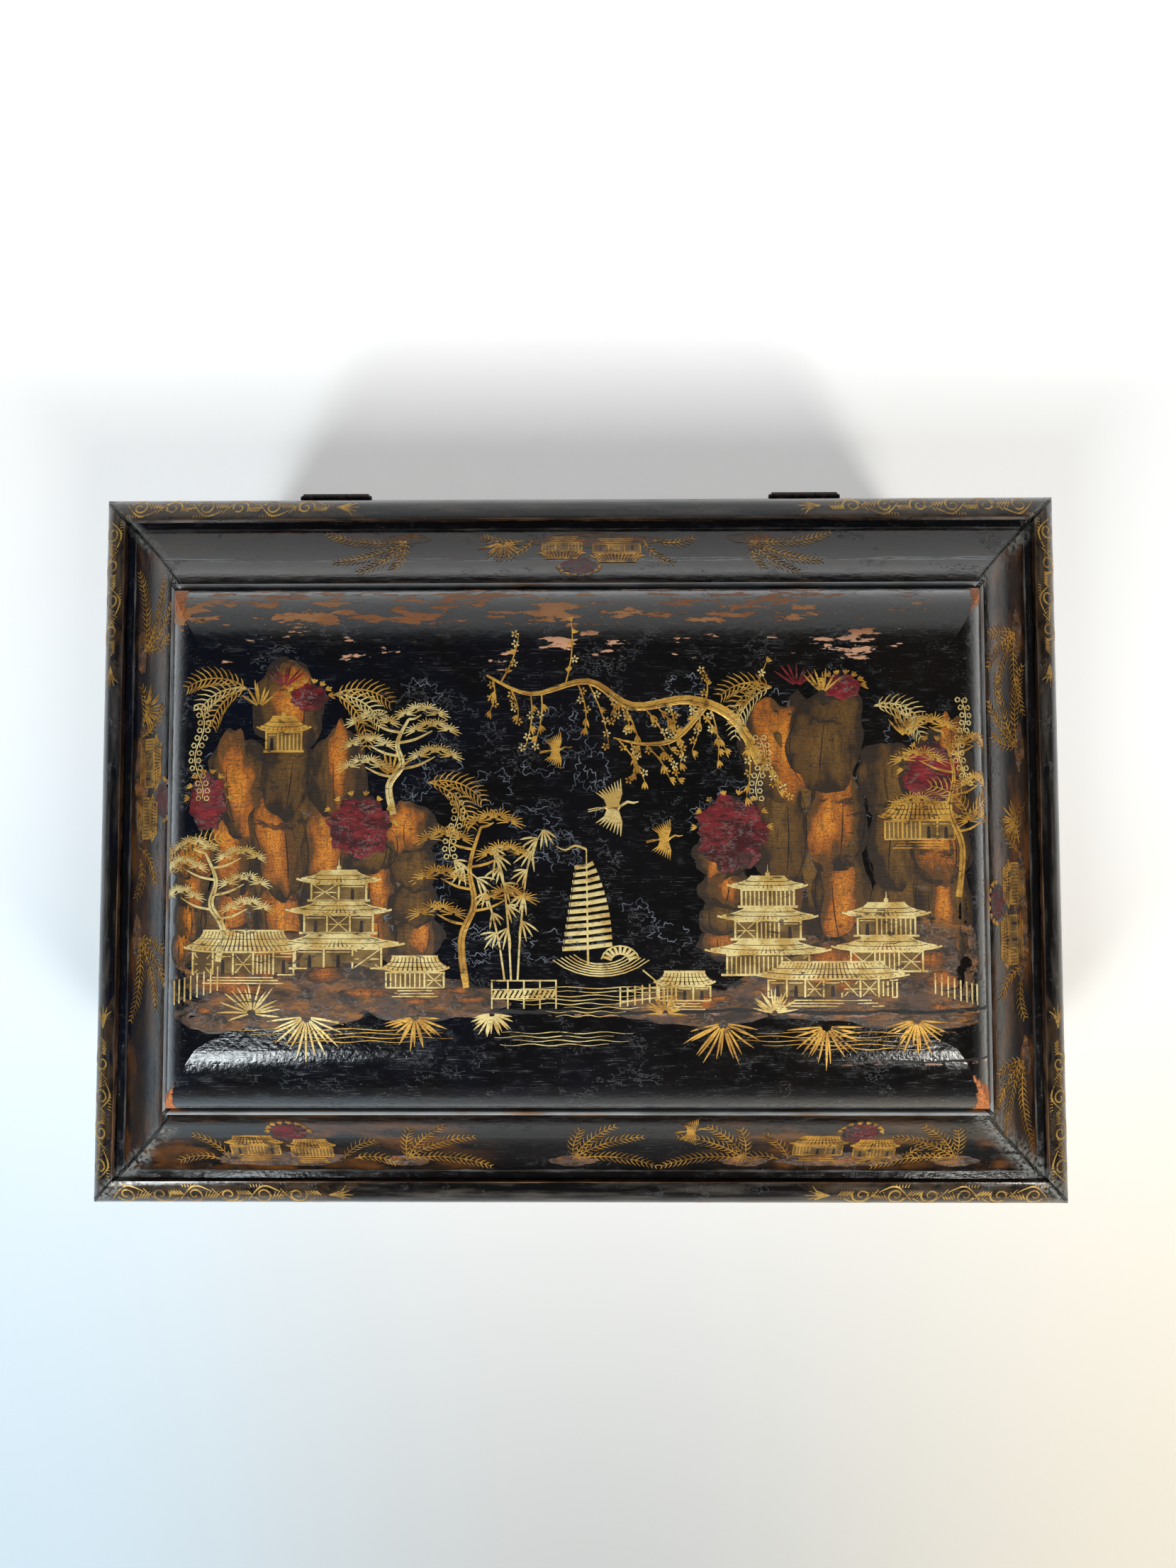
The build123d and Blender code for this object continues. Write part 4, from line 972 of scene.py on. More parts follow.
class Coat:
    """The work in one colour on one ground."""

    def __init__(self, ground, ink):
        self.ground = ground
        self.material, self.height = INKS[ink]
        self.corners, self.faces, self.inward = [], [], []

    def stroke(self, points, widths):
        """A bar along the points, as wide at each of them as the widths say."""
        sections = []
        for i, (u, v) in enumerate(points):
            before, after = points[max(i - 1, 0)], points[min(i + 1, len(points) - 1)]
            du, dv = after[0] - before[0], after[1] - before[1]
            length = math.hypot(du, dv) or 1.0
            su, sv = -dv / length * widths[i] / 2, du / length * widths[i] / 2
            left, right = self.ground.spot(u + su, v + sv), self.ground.spot(u - su, v - sv)
            if left is None or right is None:
                continue
            (left_at, out), (right_at, other) = left, right
            out = (out + other).normalized()
            lift, sink = out * self.height * MM, out * SUNK * MM
            sections.append((left_at - sink, left_at.lerp(right_at, 0.14) + lift,
                             left_at.lerp(right_at, 0.86) + lift, right_at - sink))
        if len(sections) < 2:
            return
        start = len(self.corners)
        for section in sections:
            self.corners += section
            self.inward += [1.0] * 4
        for i in range(len(sections) - 1):
            a, b = start + 4 * i, start + 4 * i + 4
            for k in range(4):
                n = (k + 1) % 4
                self.faces.append((a + k, a + n, b + n, b + k))
        end = start + 4 * (len(sections) - 1)
        self.faces.append((start, start + 3, start + 2, start + 1))
        self.faces.append((end, end + 1, end + 2, end + 3))

    def pad(self, outline, middle, layer=0):
        """A low patch inside the outline, which is seen whole from its middle. Rocks lie in layers."""
        rings, domes = [], ROCK_DOME if layer else PAD_DOME
        for share, dome in zip(PAD_RINGS[1:], domes[1:]):
            rings.append([(middle[0] + (u - middle[0]) * share, middle[1] + (v - middle[1]) * share, dome)
                          for u, v in outline])
        tops, lows = [], []
        for ring in [[(middle[0], middle[1], PAD_DOME[0])]] + rings:
            found = [(self.ground.spot(u, v), dome) for u, v, dome in ring]
            if any(spot is None for spot, _ in found):
                return
            tops.append([at + out * (self.height * dome + ROCK_LAYER * layer) * MM
                         for (at, out), dome in found])
            lows.append([at - out * SUNK * MM for (at, out), _ in found])
        count = len(outline)
        for level, turned in ((tops, False), (lows, True)):
            start = len(self.corners)
            for ring, share in zip(level, PAD_RINGS):
                self.corners += ring
                self.inward += [1.0 - share] * len(ring)
            for i in range(count):
                n = (i + 1) % count
                fan = (start, start + 1 + i, start + 1 + n)
                self.faces.append(fan[::-1] if turned else fan)
                for r in range(len(rings) - 1):
                    a, b = start + 1 + r * count, start + 1 + (r + 1) * count
                    quad = (a + i, b + i, b + n, a + n)
                    self.faces.append(quad[::-1] if turned else quad)
            if not turned:
                top_start = start
        upper, lower = top_start + 1 + (len(rings) - 1) * count, start + 1 + (len(rings) - 1) * count
        for i in range(count):
            n = (i + 1) % count
            self.faces.append((upper + i, lower + i, lower + n, upper + n))

    def make(self, name, body, slot):
        """Turns the coat into one piece that rides on its body."""
        mesh = bpy.data.meshes.new(name)
        mesh.from_pydata([tuple(corner) for corner in self.corners], [], self.faces)
        mesh.materials.append(self.material)
        mesh.attributes.new("inward", "FLOAT", "POINT").data.foreach_set("value", self.inward)
        piece = bpy.data.objects.new(name, mesh)
        bpy.context.scene.collection.objects.link(piece)
        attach(piece, body)
        return piece


print("a pad has", len(PAD_RINGS) - 1, "rings")

# %% [markdown]
# Motifs are drawn round their own foot, so that a tree or house can stand anywhere, turned, scaled
# or mirrored. A pen keeps that place, and sends each stroke to the coat of its colour.

# %% A pen
class Pen:
    """Draws on a ground in its own coordinates, turned, scaled and mirrored."""

    def __init__(self, coats, at=(0.0, 0.0), size=1.0, turn=0.0, mirrored=False):
        self.coats, self.at, self.size, self.mirrored = coats, at, size, mirrored
        self.cos, self.sin = math.cos(math.radians(turn)), math.sin(math.radians(turn))

    def to(self, x, y):
        x = (-x if self.mirrored else x) * self.size
        y = y * self.size
        return (self.at[0] + x * self.cos - y * self.sin, self.at[1] + x * self.sin + y * self.cos)

    def line(self, ink, points, width=0.6, ends=(1.0, 1.0)):
        """A stroke whose width goes from the first end to full and on to the second end."""
        last = len(points) - 1
        scale = width * max(0.6, min(self.size, 1.3))
        widths = []
        for i in range(last + 1):
            share = i / last
            end = ends[0] if share < 0.5 else ends[1]
            widths.append(scale * (end + (1 - end) * (1 - abs(2 * share - 1))))
        self.coats[ink].stroke([self.to(x, y) for x, y in points], widths)

    def patch(self, ink, outline, middle, layer=0):
        places = [self.to(x, y) for x, y in outline]
        if self.mirrored:
            places.reverse()
        self.coats[ink].pad(places, self.to(*middle), layer)


def new_coats(ground):
    return {ink: Coat(ground, ink) for ink in INKS}


print("pen is ready")

# %% [markdown]
# The motifs are the decorator's usual stock, each drawn by a short function round its own foot:
# curved lines, fronds, needle fans, reeds, lumpy rocks, earth banks, roofs, walls and fences.

# %% Lines, leaves and tufts
chance = random.Random(1750)


def curved(points, steps=5):
    """A smooth line through a few given points."""
    padded = [points[0]] + list(points) + [points[-1]]
    line = []
    for i in range(1, len(padded) - 2):
        p, q, r, s = padded[i - 1:i + 3]
        for k in range(steps):
            t = k / steps
            line.append(tuple(
                0.5 * (2 * q[n] + (r[n] - p[n]) * t + (2 * p[n] - 5 * q[n] + 4 * r[n] - s[n]) * t * t
                       + (3 * q[n] - p[n] - 3 * r[n] + s[n]) * t ** 3) for n in (0, 1)))
    return line + [points[-1]]


def frond(pen, ink, x, y, angle, length, droop, leaf, gap=1.7, width=0.5):
    """A fern or palm leaf: a bending stem with narrow leaflets on both sides."""
    steps = max(4, round(length / gap))
    heading = math.radians(angle)
    stem = [(x, y)]
    for i in range(steps):
        heading -= math.radians(droop) / steps
        x, y = x + gap * math.cos(heading), y + gap * math.sin(heading)
        stem.append((x, y))
        reach = leaf * math.sin(math.pi * (i + 1.6) / (steps + 2.2)) ** 0.7
        for side in (1, -1):
            aim, tip = heading + side * 0.95, heading + side * 0.6
            near = (x + 0.5 * reach * math.cos(aim), y + 0.5 * reach * math.sin(aim))
            far = (near[0] + 0.6 * reach * math.cos(tip), near[1] + 0.6 * reach * math.sin(tip))
            pen.line(ink, [(x, y), near, far], width, ends=(0.8, 0.25))
    pen.line(ink, stem, width, ends=(1, 0.4))


def needle_fan(pen, ink, x, y, radius, lean=0.0, spokes=11):
    """A tuft like a half-open fan: needles that spread from one point and droop."""
    for i in range(spokes):
        angle = math.radians(90 + lean + 96 * (2 * i / (spokes - 1) - 1))
        reach = radius * (0.84 + 0.16 * (i % 2))
        ray = [(x + reach * s * math.cos(angle), y + reach * (s * math.sin(angle) * 0.8 - 0.2 * s * s))
               for s in (0.12, 0.4, 0.7, 1.0)]
        pen.line(ink, ray, 0.48, ends=(0.8, 0.4))


def spray(pen, ink, x, y, angle, length, leaves=5):
    """A twig end with narrow leaves that hang from it."""
    for i in range(leaves):
        turn = math.radians(angle + (i - (leaves - 1) / 2) * 26)
        reach = length * chance.uniform(0.75, 1.0)
        leaf = [(x + reach * s * math.cos(turn), y + reach * (s * math.sin(turn) - 0.25 * s * s))
                for s in (0.05, 0.45, 0.75, 1.0)]
        pen.line(ink, leaf, 0.95, ends=(0.3, 0.12))


def vine(pen, ink, x, y, length, sway=1.5):
    """A hanging vine with pairs of small round leaves."""
    steps = round(length / 2.4)
    stem = [(x + sway * math.sin(k * 0.7), y - 2.4 * k) for k in range(steps + 1)]
    pen.line(ink, stem, 0.4)
    for k, (u, v) in enumerate(stem):
        for side in (1, -1):
            ring = [(u + side * (1.3 + 0.8 * math.cos(a)), v + 0.8 * math.sin(a))
                    for a in (0, 1.3, 2.6, 3.9, 5.2, 6.3)]
            pen.line(ink, ring, 0.42)


def reeds(pen, ink, x, y, radius, low=-10, high=190, blades=13):
    """A tuft of broad pointed blades."""
    for i in range(blades):
        angle = math.radians(low + (high - low) * (i + chance.uniform(-0.25, 0.25)) / (blades - 1))
        reach = radius * chance.uniform(0.7, 1.0)
        bow = chance.uniform(-0.12, 0.12)
        ray = [(x + reach * s * math.cos(angle + bow * s), y + reach * s * math.sin(angle + bow * s))
               for s in (0.14, 0.45, 0.75, 1.0)]
        pen.line(ink, ray, 1.05, ends=(0.4, 0.12))


def blossom(pen, ink, x, y, radius=1.3):
    """Five short petals round a gap."""
    turn = chance.uniform(0, 72)
    for i in range(5):
        angle = math.radians(turn + 72 * i)
        petal = [(x + radius * s * math.cos(angle), y + radius * s * math.sin(angle))
                 for s in (0.3, 0.7, 1.1)]
        pen.line(ink, petal, 0.7, ends=(0.4, 0.7))


def lumpy(x, y, wide, high, lumps=5, rough=0.12, lean=0.0, corners=44):
    """A closed outline with soft lumps, counter-clockwise."""
    phases = [chance.uniform(0, 2 * math.pi) for _ in range(4)]
    outline = []
    for i in range(corners):
        angle = 2 * math.pi * i / corners
        swell = 1 + rough * math.sin(lumps * angle + phases[0]) + rough * 0.6 * math.sin(
            (2 * lumps + 1) * angle + phases[1]) + rough * 0.35 * math.sin(4 * lumps * angle + phases[2])
        u, v = wide * swell * math.cos(angle), high * swell * math.sin(angle)
        outline.append((x + u + lean * v, y + v))
    return outline


def veil(pen, x, y, wide, high, loops=3):
    """The grey edges that are left of bushes whose colour has gone."""
    for i in range(loops):
        share = 1 - 0.3 * i
        outline = lumpy(x + chance.uniform(-1, 1), y + chance.uniform(-1, 1), wide * share, high * share,
                        lumps=chance.choice((7, 9, 11)), rough=0.13, corners=84)
        cut = chance.randrange(84)
        walk = outline[cut:] + outline[:cut]
        for start in range(0, 78, 13):
            if chance.random() < 0.72:
                pen.line("grey_veil", walk[start:start + 13], 0.4, ends=(0.4, 0.4))


print("leaves and tufts are ready")

# %% [markdown]
# Rocks, banks and bushes are pads with lumpy outlines. A decorator builds a rock up lobe by lobe,
# so a cliff here is a pile of overlapping boulders, each a layer higher than the last. One large
# outline would be quicker, but it would look like a flat stain.

# %% Rocks, banks and bushes
def boulder(pen, x, y, half, tall, glow, lean, layer):
    """One rounded lobe of rock: brown, with an orange face if it glows, and dark clefts."""
    pen.patch("brown_bronze", lumpy(x, y, half, tall, lumps=3, rough=0.07, lean=lean), (x, y), layer)
    if glow:
        mx, my = x + half * chance.uniform(-0.25, 0.2), y + tall * 0.04
        face = lumpy(mx, my, half * glow, tall * chance.uniform(0.85, 1.25), lumps=2, rough=0.16, lean=lean)
        pen.patch("orange_bronze", face, (mx, my), layer)
    side = chance.choice((-1, 1))
    for share, low, high in ((0.96, -62, 40), (chance.uniform(0.1, 0.6), -50, 30)):
        cleft = []
        for a in (math.radians(degrees) for degrees in range(low, high, 14)):
            cleft.append((x + side * half * share * math.cos(a) + lean * tall * math.sin(a),
                          y + tall * 0.96 * math.sin(a)))
        pen.line("cleft", cleft, 0.5, ends=(0.2, 0.2))


def cliff(pen, x, y, wide, high, columns=3, lean=0.0):
    """A steep rock of boulders piled in columns, with the tallest column in its middle."""
    heart = (x + lean * high * 0.4, y + high * 0.4)
    layer = 1
    pen.patch("brown_bronze", lumpy(*heart, wide * 0.44, high * 0.4, lumps=4, rough=0.05), heart, layer)
    for c in range(columns):
        off = (c + 0.5) / columns - 0.5
        top = high * (1 - abs(off) * chance.uniform(0.3, 0.9))
        half = wide / columns * 0.62
        level = 0.0
        while level < top * 0.86:
            tall = high * chance.uniform(0.14, 0.2)
            crown = level + 1.45 * tall > top * 0.86
            layer = min(layer + 1, 12)
            middle = x + off * wide + lean * level + chance.uniform(-0.1, 0.1) * wide / columns
            swell = chance.uniform(1.05, 1.3) if crown else chance.uniform(0.8, 1.0)
            glow = chance.choice((0, 0.42, 0.55, 0.68))
            boulder(pen, middle, y + level + tall, half * swell, tall, glow,
                    chance.uniform(-0.12, 0.12), layer)
            level += tall * 1.45


def bank(pen, x, y, wide, high, orange=2):
    """A hump of brown earth with glowing patches, loose dark lines and a few stones."""
    pen.patch("earth", lumpy(x, y, wide, high, lumps=4, rough=0.07, corners=60), (x, y))
    for _ in range(orange):
        mx, my = x + chance.uniform(-0.6, 0.6) * wide, y + chance.uniform(-0.15, 0.55) * high
        glow = lumpy(mx, my, wide * chance.uniform(0.14, 0.3), high * chance.uniform(0.16, 0.32), lumps=3)
        pen.patch("earth_glow", glow, (mx, my))
    for _ in range(round(wide / 5)):
        mx, my = x + chance.uniform(-0.8, 0.5) * wide, y + chance.uniform(-0.7, 0.7) * high
        run = [(mx + s * wide * 0.07, my + chance.uniform(-0.4, 0.4)) for s in range(5)]
        pen.line(chance.choice(("dark_line", "grey_veil")), run, 0.45, ends=(0.2, 0.2))


def bush(pen, x, y, wide, high):
    """A crimson bush with dark hollows and small gilt leaves at its edge."""
    pen.patch("crimson", lumpy(x, y, wide, high, lumps=7, rough=0.07, corners=60), (x, y))
    for _ in range(round(wide * high * 0.2)):
        angle, share = chance.uniform(0, 6.28), chance.uniform(0.1, 0.85)
        mx, my = x + wide * share * math.cos(angle), y + high * share * math.sin(angle)
        curl = [(mx + 0.9 * math.cos(a), my + 0.6 * math.sin(a)) for a in (0.2, 1.2, 2.2, 3.2)]
        pen.line("dark_line", curl, 0.36, ends=(0.4, 0.4))
    for i in range(8):
        angle = math.radians(10 + i * 23)
        spray(pen, "old_gold", x + wide * math.cos(angle), y + high * math.sin(angle),
              math.degrees(angle), 2.6, 3)


print("rocks, banks and bushes are ready")

# %% [markdown]
# Buildings are drawn with the finest brush in parallel lines: tiles, posts, rails and lattice. A
# roof could be one pad, but it is the lines that make it read as gilt work, so each row of tiles
# is its own stroke.

# %% Roofs, walls and houses
def roof(pen, x, y, eave, ridge, high, gold="pale_gold", upturn=1.4):
    """A tiled roof with a sagging slope and turned-up corners, drawn tile row by tile row."""
    def slope(share, level):
        """Across share from -1 to 1, level from 0 at the eave to 1 at the ridge."""
        half = ridge + (eave - ridge) * (1 - level) ** 1.7
        lift = upturn * abs(share) ** 4 * (1 - level) ** 2
        return (x + share * half, y + high * level + lift)

    rows = max(5, round(eave * 2 / 1.6))
    for i in range(rows):
        share = 2 * (i + 0.5) / rows - 1
        row = [slope(share, level) for level in (0.06, 0.35, 0.65, 0.94)]
        pen.line(gold, row, 1.12, ends=(1.1, 0.85))
    for level in (0.0, 1.0):
        pen.line(gold, [slope(s / 6, level) for s in range(-6, 7)], 0.8)
    for level in (0.28, 0.6):
        pen.line("dark_line", [slope(s / 6, level) for s in range(-6, 7)], 0.24)


def wall(pen, x, y, wide, high, panels=3, gold="pale_gold"):
    """Posts and rails, with lattice, dark doors or slats between them."""
    step = wide / panels
    ground = [(x + wide / 2 * u, y + high * (0.5 + 0.5 * v)) for u, v in
              ((1, -1), (1, 0), (1, 1), (0, 1), (-1, 1), (-1, 0), (-1, -1), (0, -1))]
    pen.patch("wall_gold", ground, (x, y + high / 2))
    for i in range(panels + 1):
        px = x - wide / 2 + step * i
        pen.line(gold, [(px, y), (px, y + high)], 0.8)
    for level in (0.0, 0.94):
        pen.line(gold, [(x - wide / 2, y + high * level), (x + wide / 2, y + high * level)], 0.6)
    for i in range(panels):
        left = x - wide / 2 + step * i + 0.7
        right = left + step - 1.4
        kind = chance.choice(("slats", "lattice", "door", "slats"))
        if kind == "lattice":
            pen.line(gold, [(left, y + 0.4), (right, y + high * 0.9)], 0.42)
            pen.line(gold, [(right, y + 0.4), (left, y + high * 0.9)], 0.42)
            pen.line(gold, [(left, y + high * 0.46), (right, y + high * 0.46)], 0.42)
        elif kind == "slats":
            count = max(2, round((right - left) / 1.4))
            for k in range(count):
                sx = left + (k + 0.5) * (right - left) / count
                pen.line(gold, [(sx, y + 0.3), (sx, y + high * 0.88)], 0.6)
        else:
            mid = (left + right) / 2
            door = [(mid, y + high * s) for s in (0.04, 0.35, 0.66)]
            pen.line("dark_line", door, 1.5, ends=(1, 0.7))
            pen.line(gold, [(left, y + high * 0.8), (right, y + high * 0.8)], 0.42)


def finial(pen, x, y, gold="pale_gold"):
    """The knob and spike on top of a roof."""
    pen.patch(gold, lumpy(x, y + 0.9, 0.8, 0.8, lumps=2, rough=0.02, corners=10), (x, y + 0.9))
    pen.line(gold, [(x, y + 1.5), (x, y + 3.8)], 0.5, ends=(1, 0.2))


def pagoda(pen, x, y, wide, tiers, gold="pale_gold"):
    """Storeys that get smaller as they go up, each with its own roof and railing."""
    for tier in range(tiers):
        half = wide / 2 * 0.8 ** tier
        tall = 6.4 * 0.92 ** tier
        wall(pen, x, y, half * 1.5, tall, panels=3 if tier < 2 else 2, gold=gold)
        pen.line(gold, [(x - half * 0.86, y), (x + half * 0.86, y)], 0.9)
        y += tall
        roof(pen, x, y, half * 1.16, half * 0.5, 4.6 * 0.92 ** tier, gold)
        y += 4.6 * 0.92 ** tier
    finial(pen, x, y, gold)


def gallery(pen, x, y, wide, high=6.0, gold="pale_gold"):
    """A long low house with a red lattice window and a step in front."""
    wall(pen, x, y, wide, high, panels=max(3, round(wide / 6)), gold=gold)
    window = lumpy(x + wide * 0.24, y + high * 0.45, 1.8, high * 0.32, lumps=4, rough=0.02, corners=20)
    pen.patch("crimson", window, (x + wide * 0.24, y + high * 0.45))
    roof(pen, x, y + high, wide * 0.6, wide * 0.4, high * 0.95, gold)
    for k in range(3):
        half, level = wide * (0.3 + 0.05 * k), y - 0.9 * k - 0.9
        pen.line(gold, [(x - half, level), (x + half, level)], 0.5)


def fence(pen, x, y, wide, high, posts, rise=0.0, gold="pale_gold"):
    """A railing that climbs or falls along its length."""
    for i in range(posts):
        share = i / (posts - 1)
        px, py = x + wide * share, y + rise * share
        pen.line(gold, [(px, py), (px, py + high)], 0.6)
    for level in (0.25, 0.8):
        pen.line(gold, [(x, y + high * level), (x + wide, y + rise + high * level)], 0.5)


print("roofs and houses are ready")

# %% [markdown]
# Trees, birds and the boat are a few long strokes with small ones hung on them. A smooth curve
# through four or five points gives a trunk or bough. A loop adds the leaves along it by a seeded
# chance, so that no two are alike and every run draws the same.

# %% Trees, birds, boats and water
PINE_BOUGHS = ((0.35, 9, -1), (0.46, 11, 1), (0.6, 10, -1), (0.74, 11, 1), (0.86, 9, -1), (1.0, 4, 1))

def pine(pen, x, y, high, lean=1, gold="old_gold", fan=5.0):
    """A bent trunk with side boughs, each ending in needle fans."""
    trunk = curved([(x, y), (x - 1.5 * lean, y + high * 0.3), (x + 2.5 * lean, y + high * 0.52),
                    (x + 1.0 * lean, y + high * 0.75), (x + 4.5 * lean, y + high)])
    pen.line(gold, trunk, 2.1, ends=(1.2, 0.4))
    pen.line("dark_line", trunk[2:-3], 0.3, ends=(0.3, 0.3))
    for share, reach, side in PINE_BOUGHS:
        sx, sy = trunk[round(share * (len(trunk) - 1))]
        tip = (sx + side * lean * reach, sy + reach * 0.35)
        pen.line(gold, curved([(sx, sy), (sx + side * lean * reach * 0.5, sy + reach * 0.1), tip], 3), 0.9,
                 ends=(1, 0.4))
        for k in (-1.5, -0.5, 0.5, 1.5):
            rise = 1.8 if abs(k) < 1 else 0.0
            needle_fan(pen, gold, tip[0] + k * 3.4, tip[1] + rise, fan, lean=-10 * k)


def plum(pen, points, gold="old_gold", twigs=9, hang=(6, 14), width=2.2):
    """A long thick bough with hanging twigs, leaves and blossom."""
    bough = curved(points)
    pen.line(gold, bough, width, ends=(1.3, 0.25))
    pen.line("dark_line", [(u, v - 0.35) for u, v in bough[1:-4]], 0.28, ends=(0.3, 0.3))
    for i in range(twigs):
        bx, by = bough[round((i + 0.5) / twigs * (len(bough) - 1))]
        angle = math.radians(chance.choice((-1, -1, -1, 1)) * chance.uniform(50, 100))
        reach = chance.uniform(*hang)
        twig = [(bx + reach * s * math.cos(angle) + 1.2 * math.sin(3 * s), by + reach * s * math.sin(angle))
                for s in (0, 0.2, 0.4, 0.6, 0.8, 1.0)]
        pen.line(gold, twig, 0.5, ends=(1, 0.4))
        for u, v in twig[1:]:
            if chance.random() < 0.55:
                gilt = chance.choice(("pale_gold", "old_gold"))
                blossom(pen, gilt, u + chance.uniform(-1.2, 1.2), v, 1.15)
            else:
                spray(pen, gold, u, v, math.degrees(angle) + chance.uniform(-60, 60), 2.6, 3)


def bamboo(pen, ink, x, y, high, bow):
    """A thin jointed stem that bows over, with sprays of leaves."""
    stem = curved([(x, y), (x + bow * 0.15, y + high * 0.4),
                   (x + bow * 0.45, y + high * 0.8), (x + bow, y + high)])
    pen.line(ink, stem, 0.7, ends=(1, 0.4))
    for k in range(5, len(stem), 2):
        u, v = stem[k]
        spray(pen, ink, u, v, chance.choice((-150, -120, -60, -30)), chance.uniform(4.5, 7), 4)


def crane(pen, x, y, size=1.0, gold="pale_gold"):
    """A bird in flight with spread feathered wings, long neck and trailing legs."""
    def at(u, v):
        return (x + u * size, y + v * size)

    body = [at(u, v) for u, v in ((-1.2, -0.7), (1.2, -0.6), (2.4, 0.5), (1.0, 1.0), (-1.2, 0.9), (-2.6, 0))]
    pen.patch(gold, body, at(0, 0.1))
    neck = [at(u, v) for u, v in ((2.0, 0.6), (3.6, 1.5), (5.0, 1.2), (6.3, 1.5))]
    pen.line(gold, neck, 0.75 * size, ends=(1, 0.4))
    for k in (-0.25, 0.25):
        pen.line(gold, [at(-2.2, 0), at(-4.2, -0.3 + k), at(-6.4, -0.8 + k)], 0.35)
    for side, feathers in ((1, 9), (-1, 8)):
        for i in range(feathers):
            share = i / (feathers - 1)
            root = at(1.0 - 2.4 * share, 0.4 * side)
            tip = at(1.8 - 6.2 * share, side * (7.2 - 3.4 * share))
            mid = at(1.9 - 4.0 * share, side * (3.6 - 1.2 * share))
            pen.line(gold, [root, mid, tip], 0.78 * size, ends=(0.8, 0.25))


def boat(pen, x, y, gold="pale_gold"):
    """A river boat with a woven cover, a ribbed sail on its mast and a pennant."""
    for k in range(6):
        half, sag = 15 - k * 1.3, 3.4 - 0.4 * k
        hull = [(x + half * s, y - sag * (1 - s * s) + 0.35 * k + 1.6 * abs(s) ** 3) for s in
                (-1, -0.75, -0.5, -0.25, 0, 0.25, 0.5, 0.75, 1)]
        pen.line(gold, hull, 0.62, ends=(0.6, 0.6))
    for k in range(9):
        angle = math.radians(20 + 17.5 * k)
        rib = [(x + 6 + 6 * math.cos(angle) * s, y + 1 + 5 * math.sin(angle) * s) for s in (0.5, 1.0)]
        pen.line(gold, rib, 1.0)
    for share in (0.5, 1.0):
        hoop = [(x + 6 + 6 * share * math.cos(math.radians(a)),
                 y + 1 + 5 * share * math.sin(math.radians(a))) for a in range(10, 171, 20)]
        pen.line(gold, hoop, 0.55)
    pen.line(gold, [(x - 4, y), (x - 4.5, y + 36)], 0.9, ends=(1, 0.5))
    for k in range(12):
        low = y + 5 + 2.3 * k
        left, right = x - 12 + 0.35 * k, x + 3.5 - 0.12 * k * k * 0.4
        pen.line(gold, [(left, low), (x - 4.3, low + 0.5), (right, low + 1.5)], 1.45)
    pen.line("dark_line", [(x - 11.6 + 0.35 * k, y + 5 + 2.3 * k) for k in range(12)], 0.3)
    pennant = [(x - 4.5, y + 36), (x - 8, y + 37.2), (x - 11, y + 35.8), (x - 14, y + 37)]
    pen.line(gold, curved(pennant, 3), 0.8, ends=(1, 0.3))
    pen.line(gold, [(x + 13, y - 1.5), (x + 19, y - 6.5)], 0.6, ends=(1, 0.6))


def ripples(pen, x, y, wide, rows, gold="pale_gold"):
    """Long wavy lines of water, shorter and shorter."""
    for k in range(rows):
        half = wide / 2 * (1 - 0.09 * k) * chance.uniform(0.75, 1.0)
        shift = chance.uniform(-0.12, 0.12) * wide
        phase = chance.uniform(0, 6.28)
        line = [(x + shift + half * s / 8, y - 1.25 * k + 0.32 * math.sin(phase + s * 1.1))
                for s in range(-8, 9)]
        pen.line(gold, line, 0.42, ends=(0.3, 0.3))


def jetty(pen, x, y, wide, gold="pale_gold"):
    """A plank walk on posts with a handrail."""
    planks = round(wide / 1.5)
    for i in range(planks):
        px = x + wide * (i + 0.5) / planks
        pen.line(gold, [(px - 0.7, y - 1.2), (px + 0.7, y + 1.2)], 0.95)
    for dy in (-1.4, 1.4):
        pen.line(gold, [(x, y + dy), (x + wide, y + dy)], 0.5)
    for i in range(round(wide / 5) + 1):
        px = x + i * 5
        pen.line(gold, [(px, y - 4.5), (px, y + 4.5)], 0.6)
    pen.line(gold, [(x, y + 4.2), (x + wide, y + 4.2)], 0.5)


def spiral(pen, ink, x, y, size, start, turns, hand=1, width=0.6):
    """A scroll that curls in on itself."""
    steps = round(turns * 12)
    line = []
    for i in range(steps + 1):
        share = i / steps
        angle = math.radians(start) + hand * turns * 2 * math.pi * share
        radius = size * (1 - 0.86 * share)
        line.append((x + radius * math.cos(angle), y + radius * math.sin(angle)))
    pen.line(ink, line, width, ends=(1, 0.5))


print("trees, birds and boats are ready")

# %% [markdown]
# The landscape on the cushion is a made-up one in the usual manner: steep bronze cliffs at both
# sides, a tall pagoda and long houses on brown banks, a plum bough and cranes in the open black
# middle, and a moored boat below. Earlier work lies lower, so banks and cliffs come first.

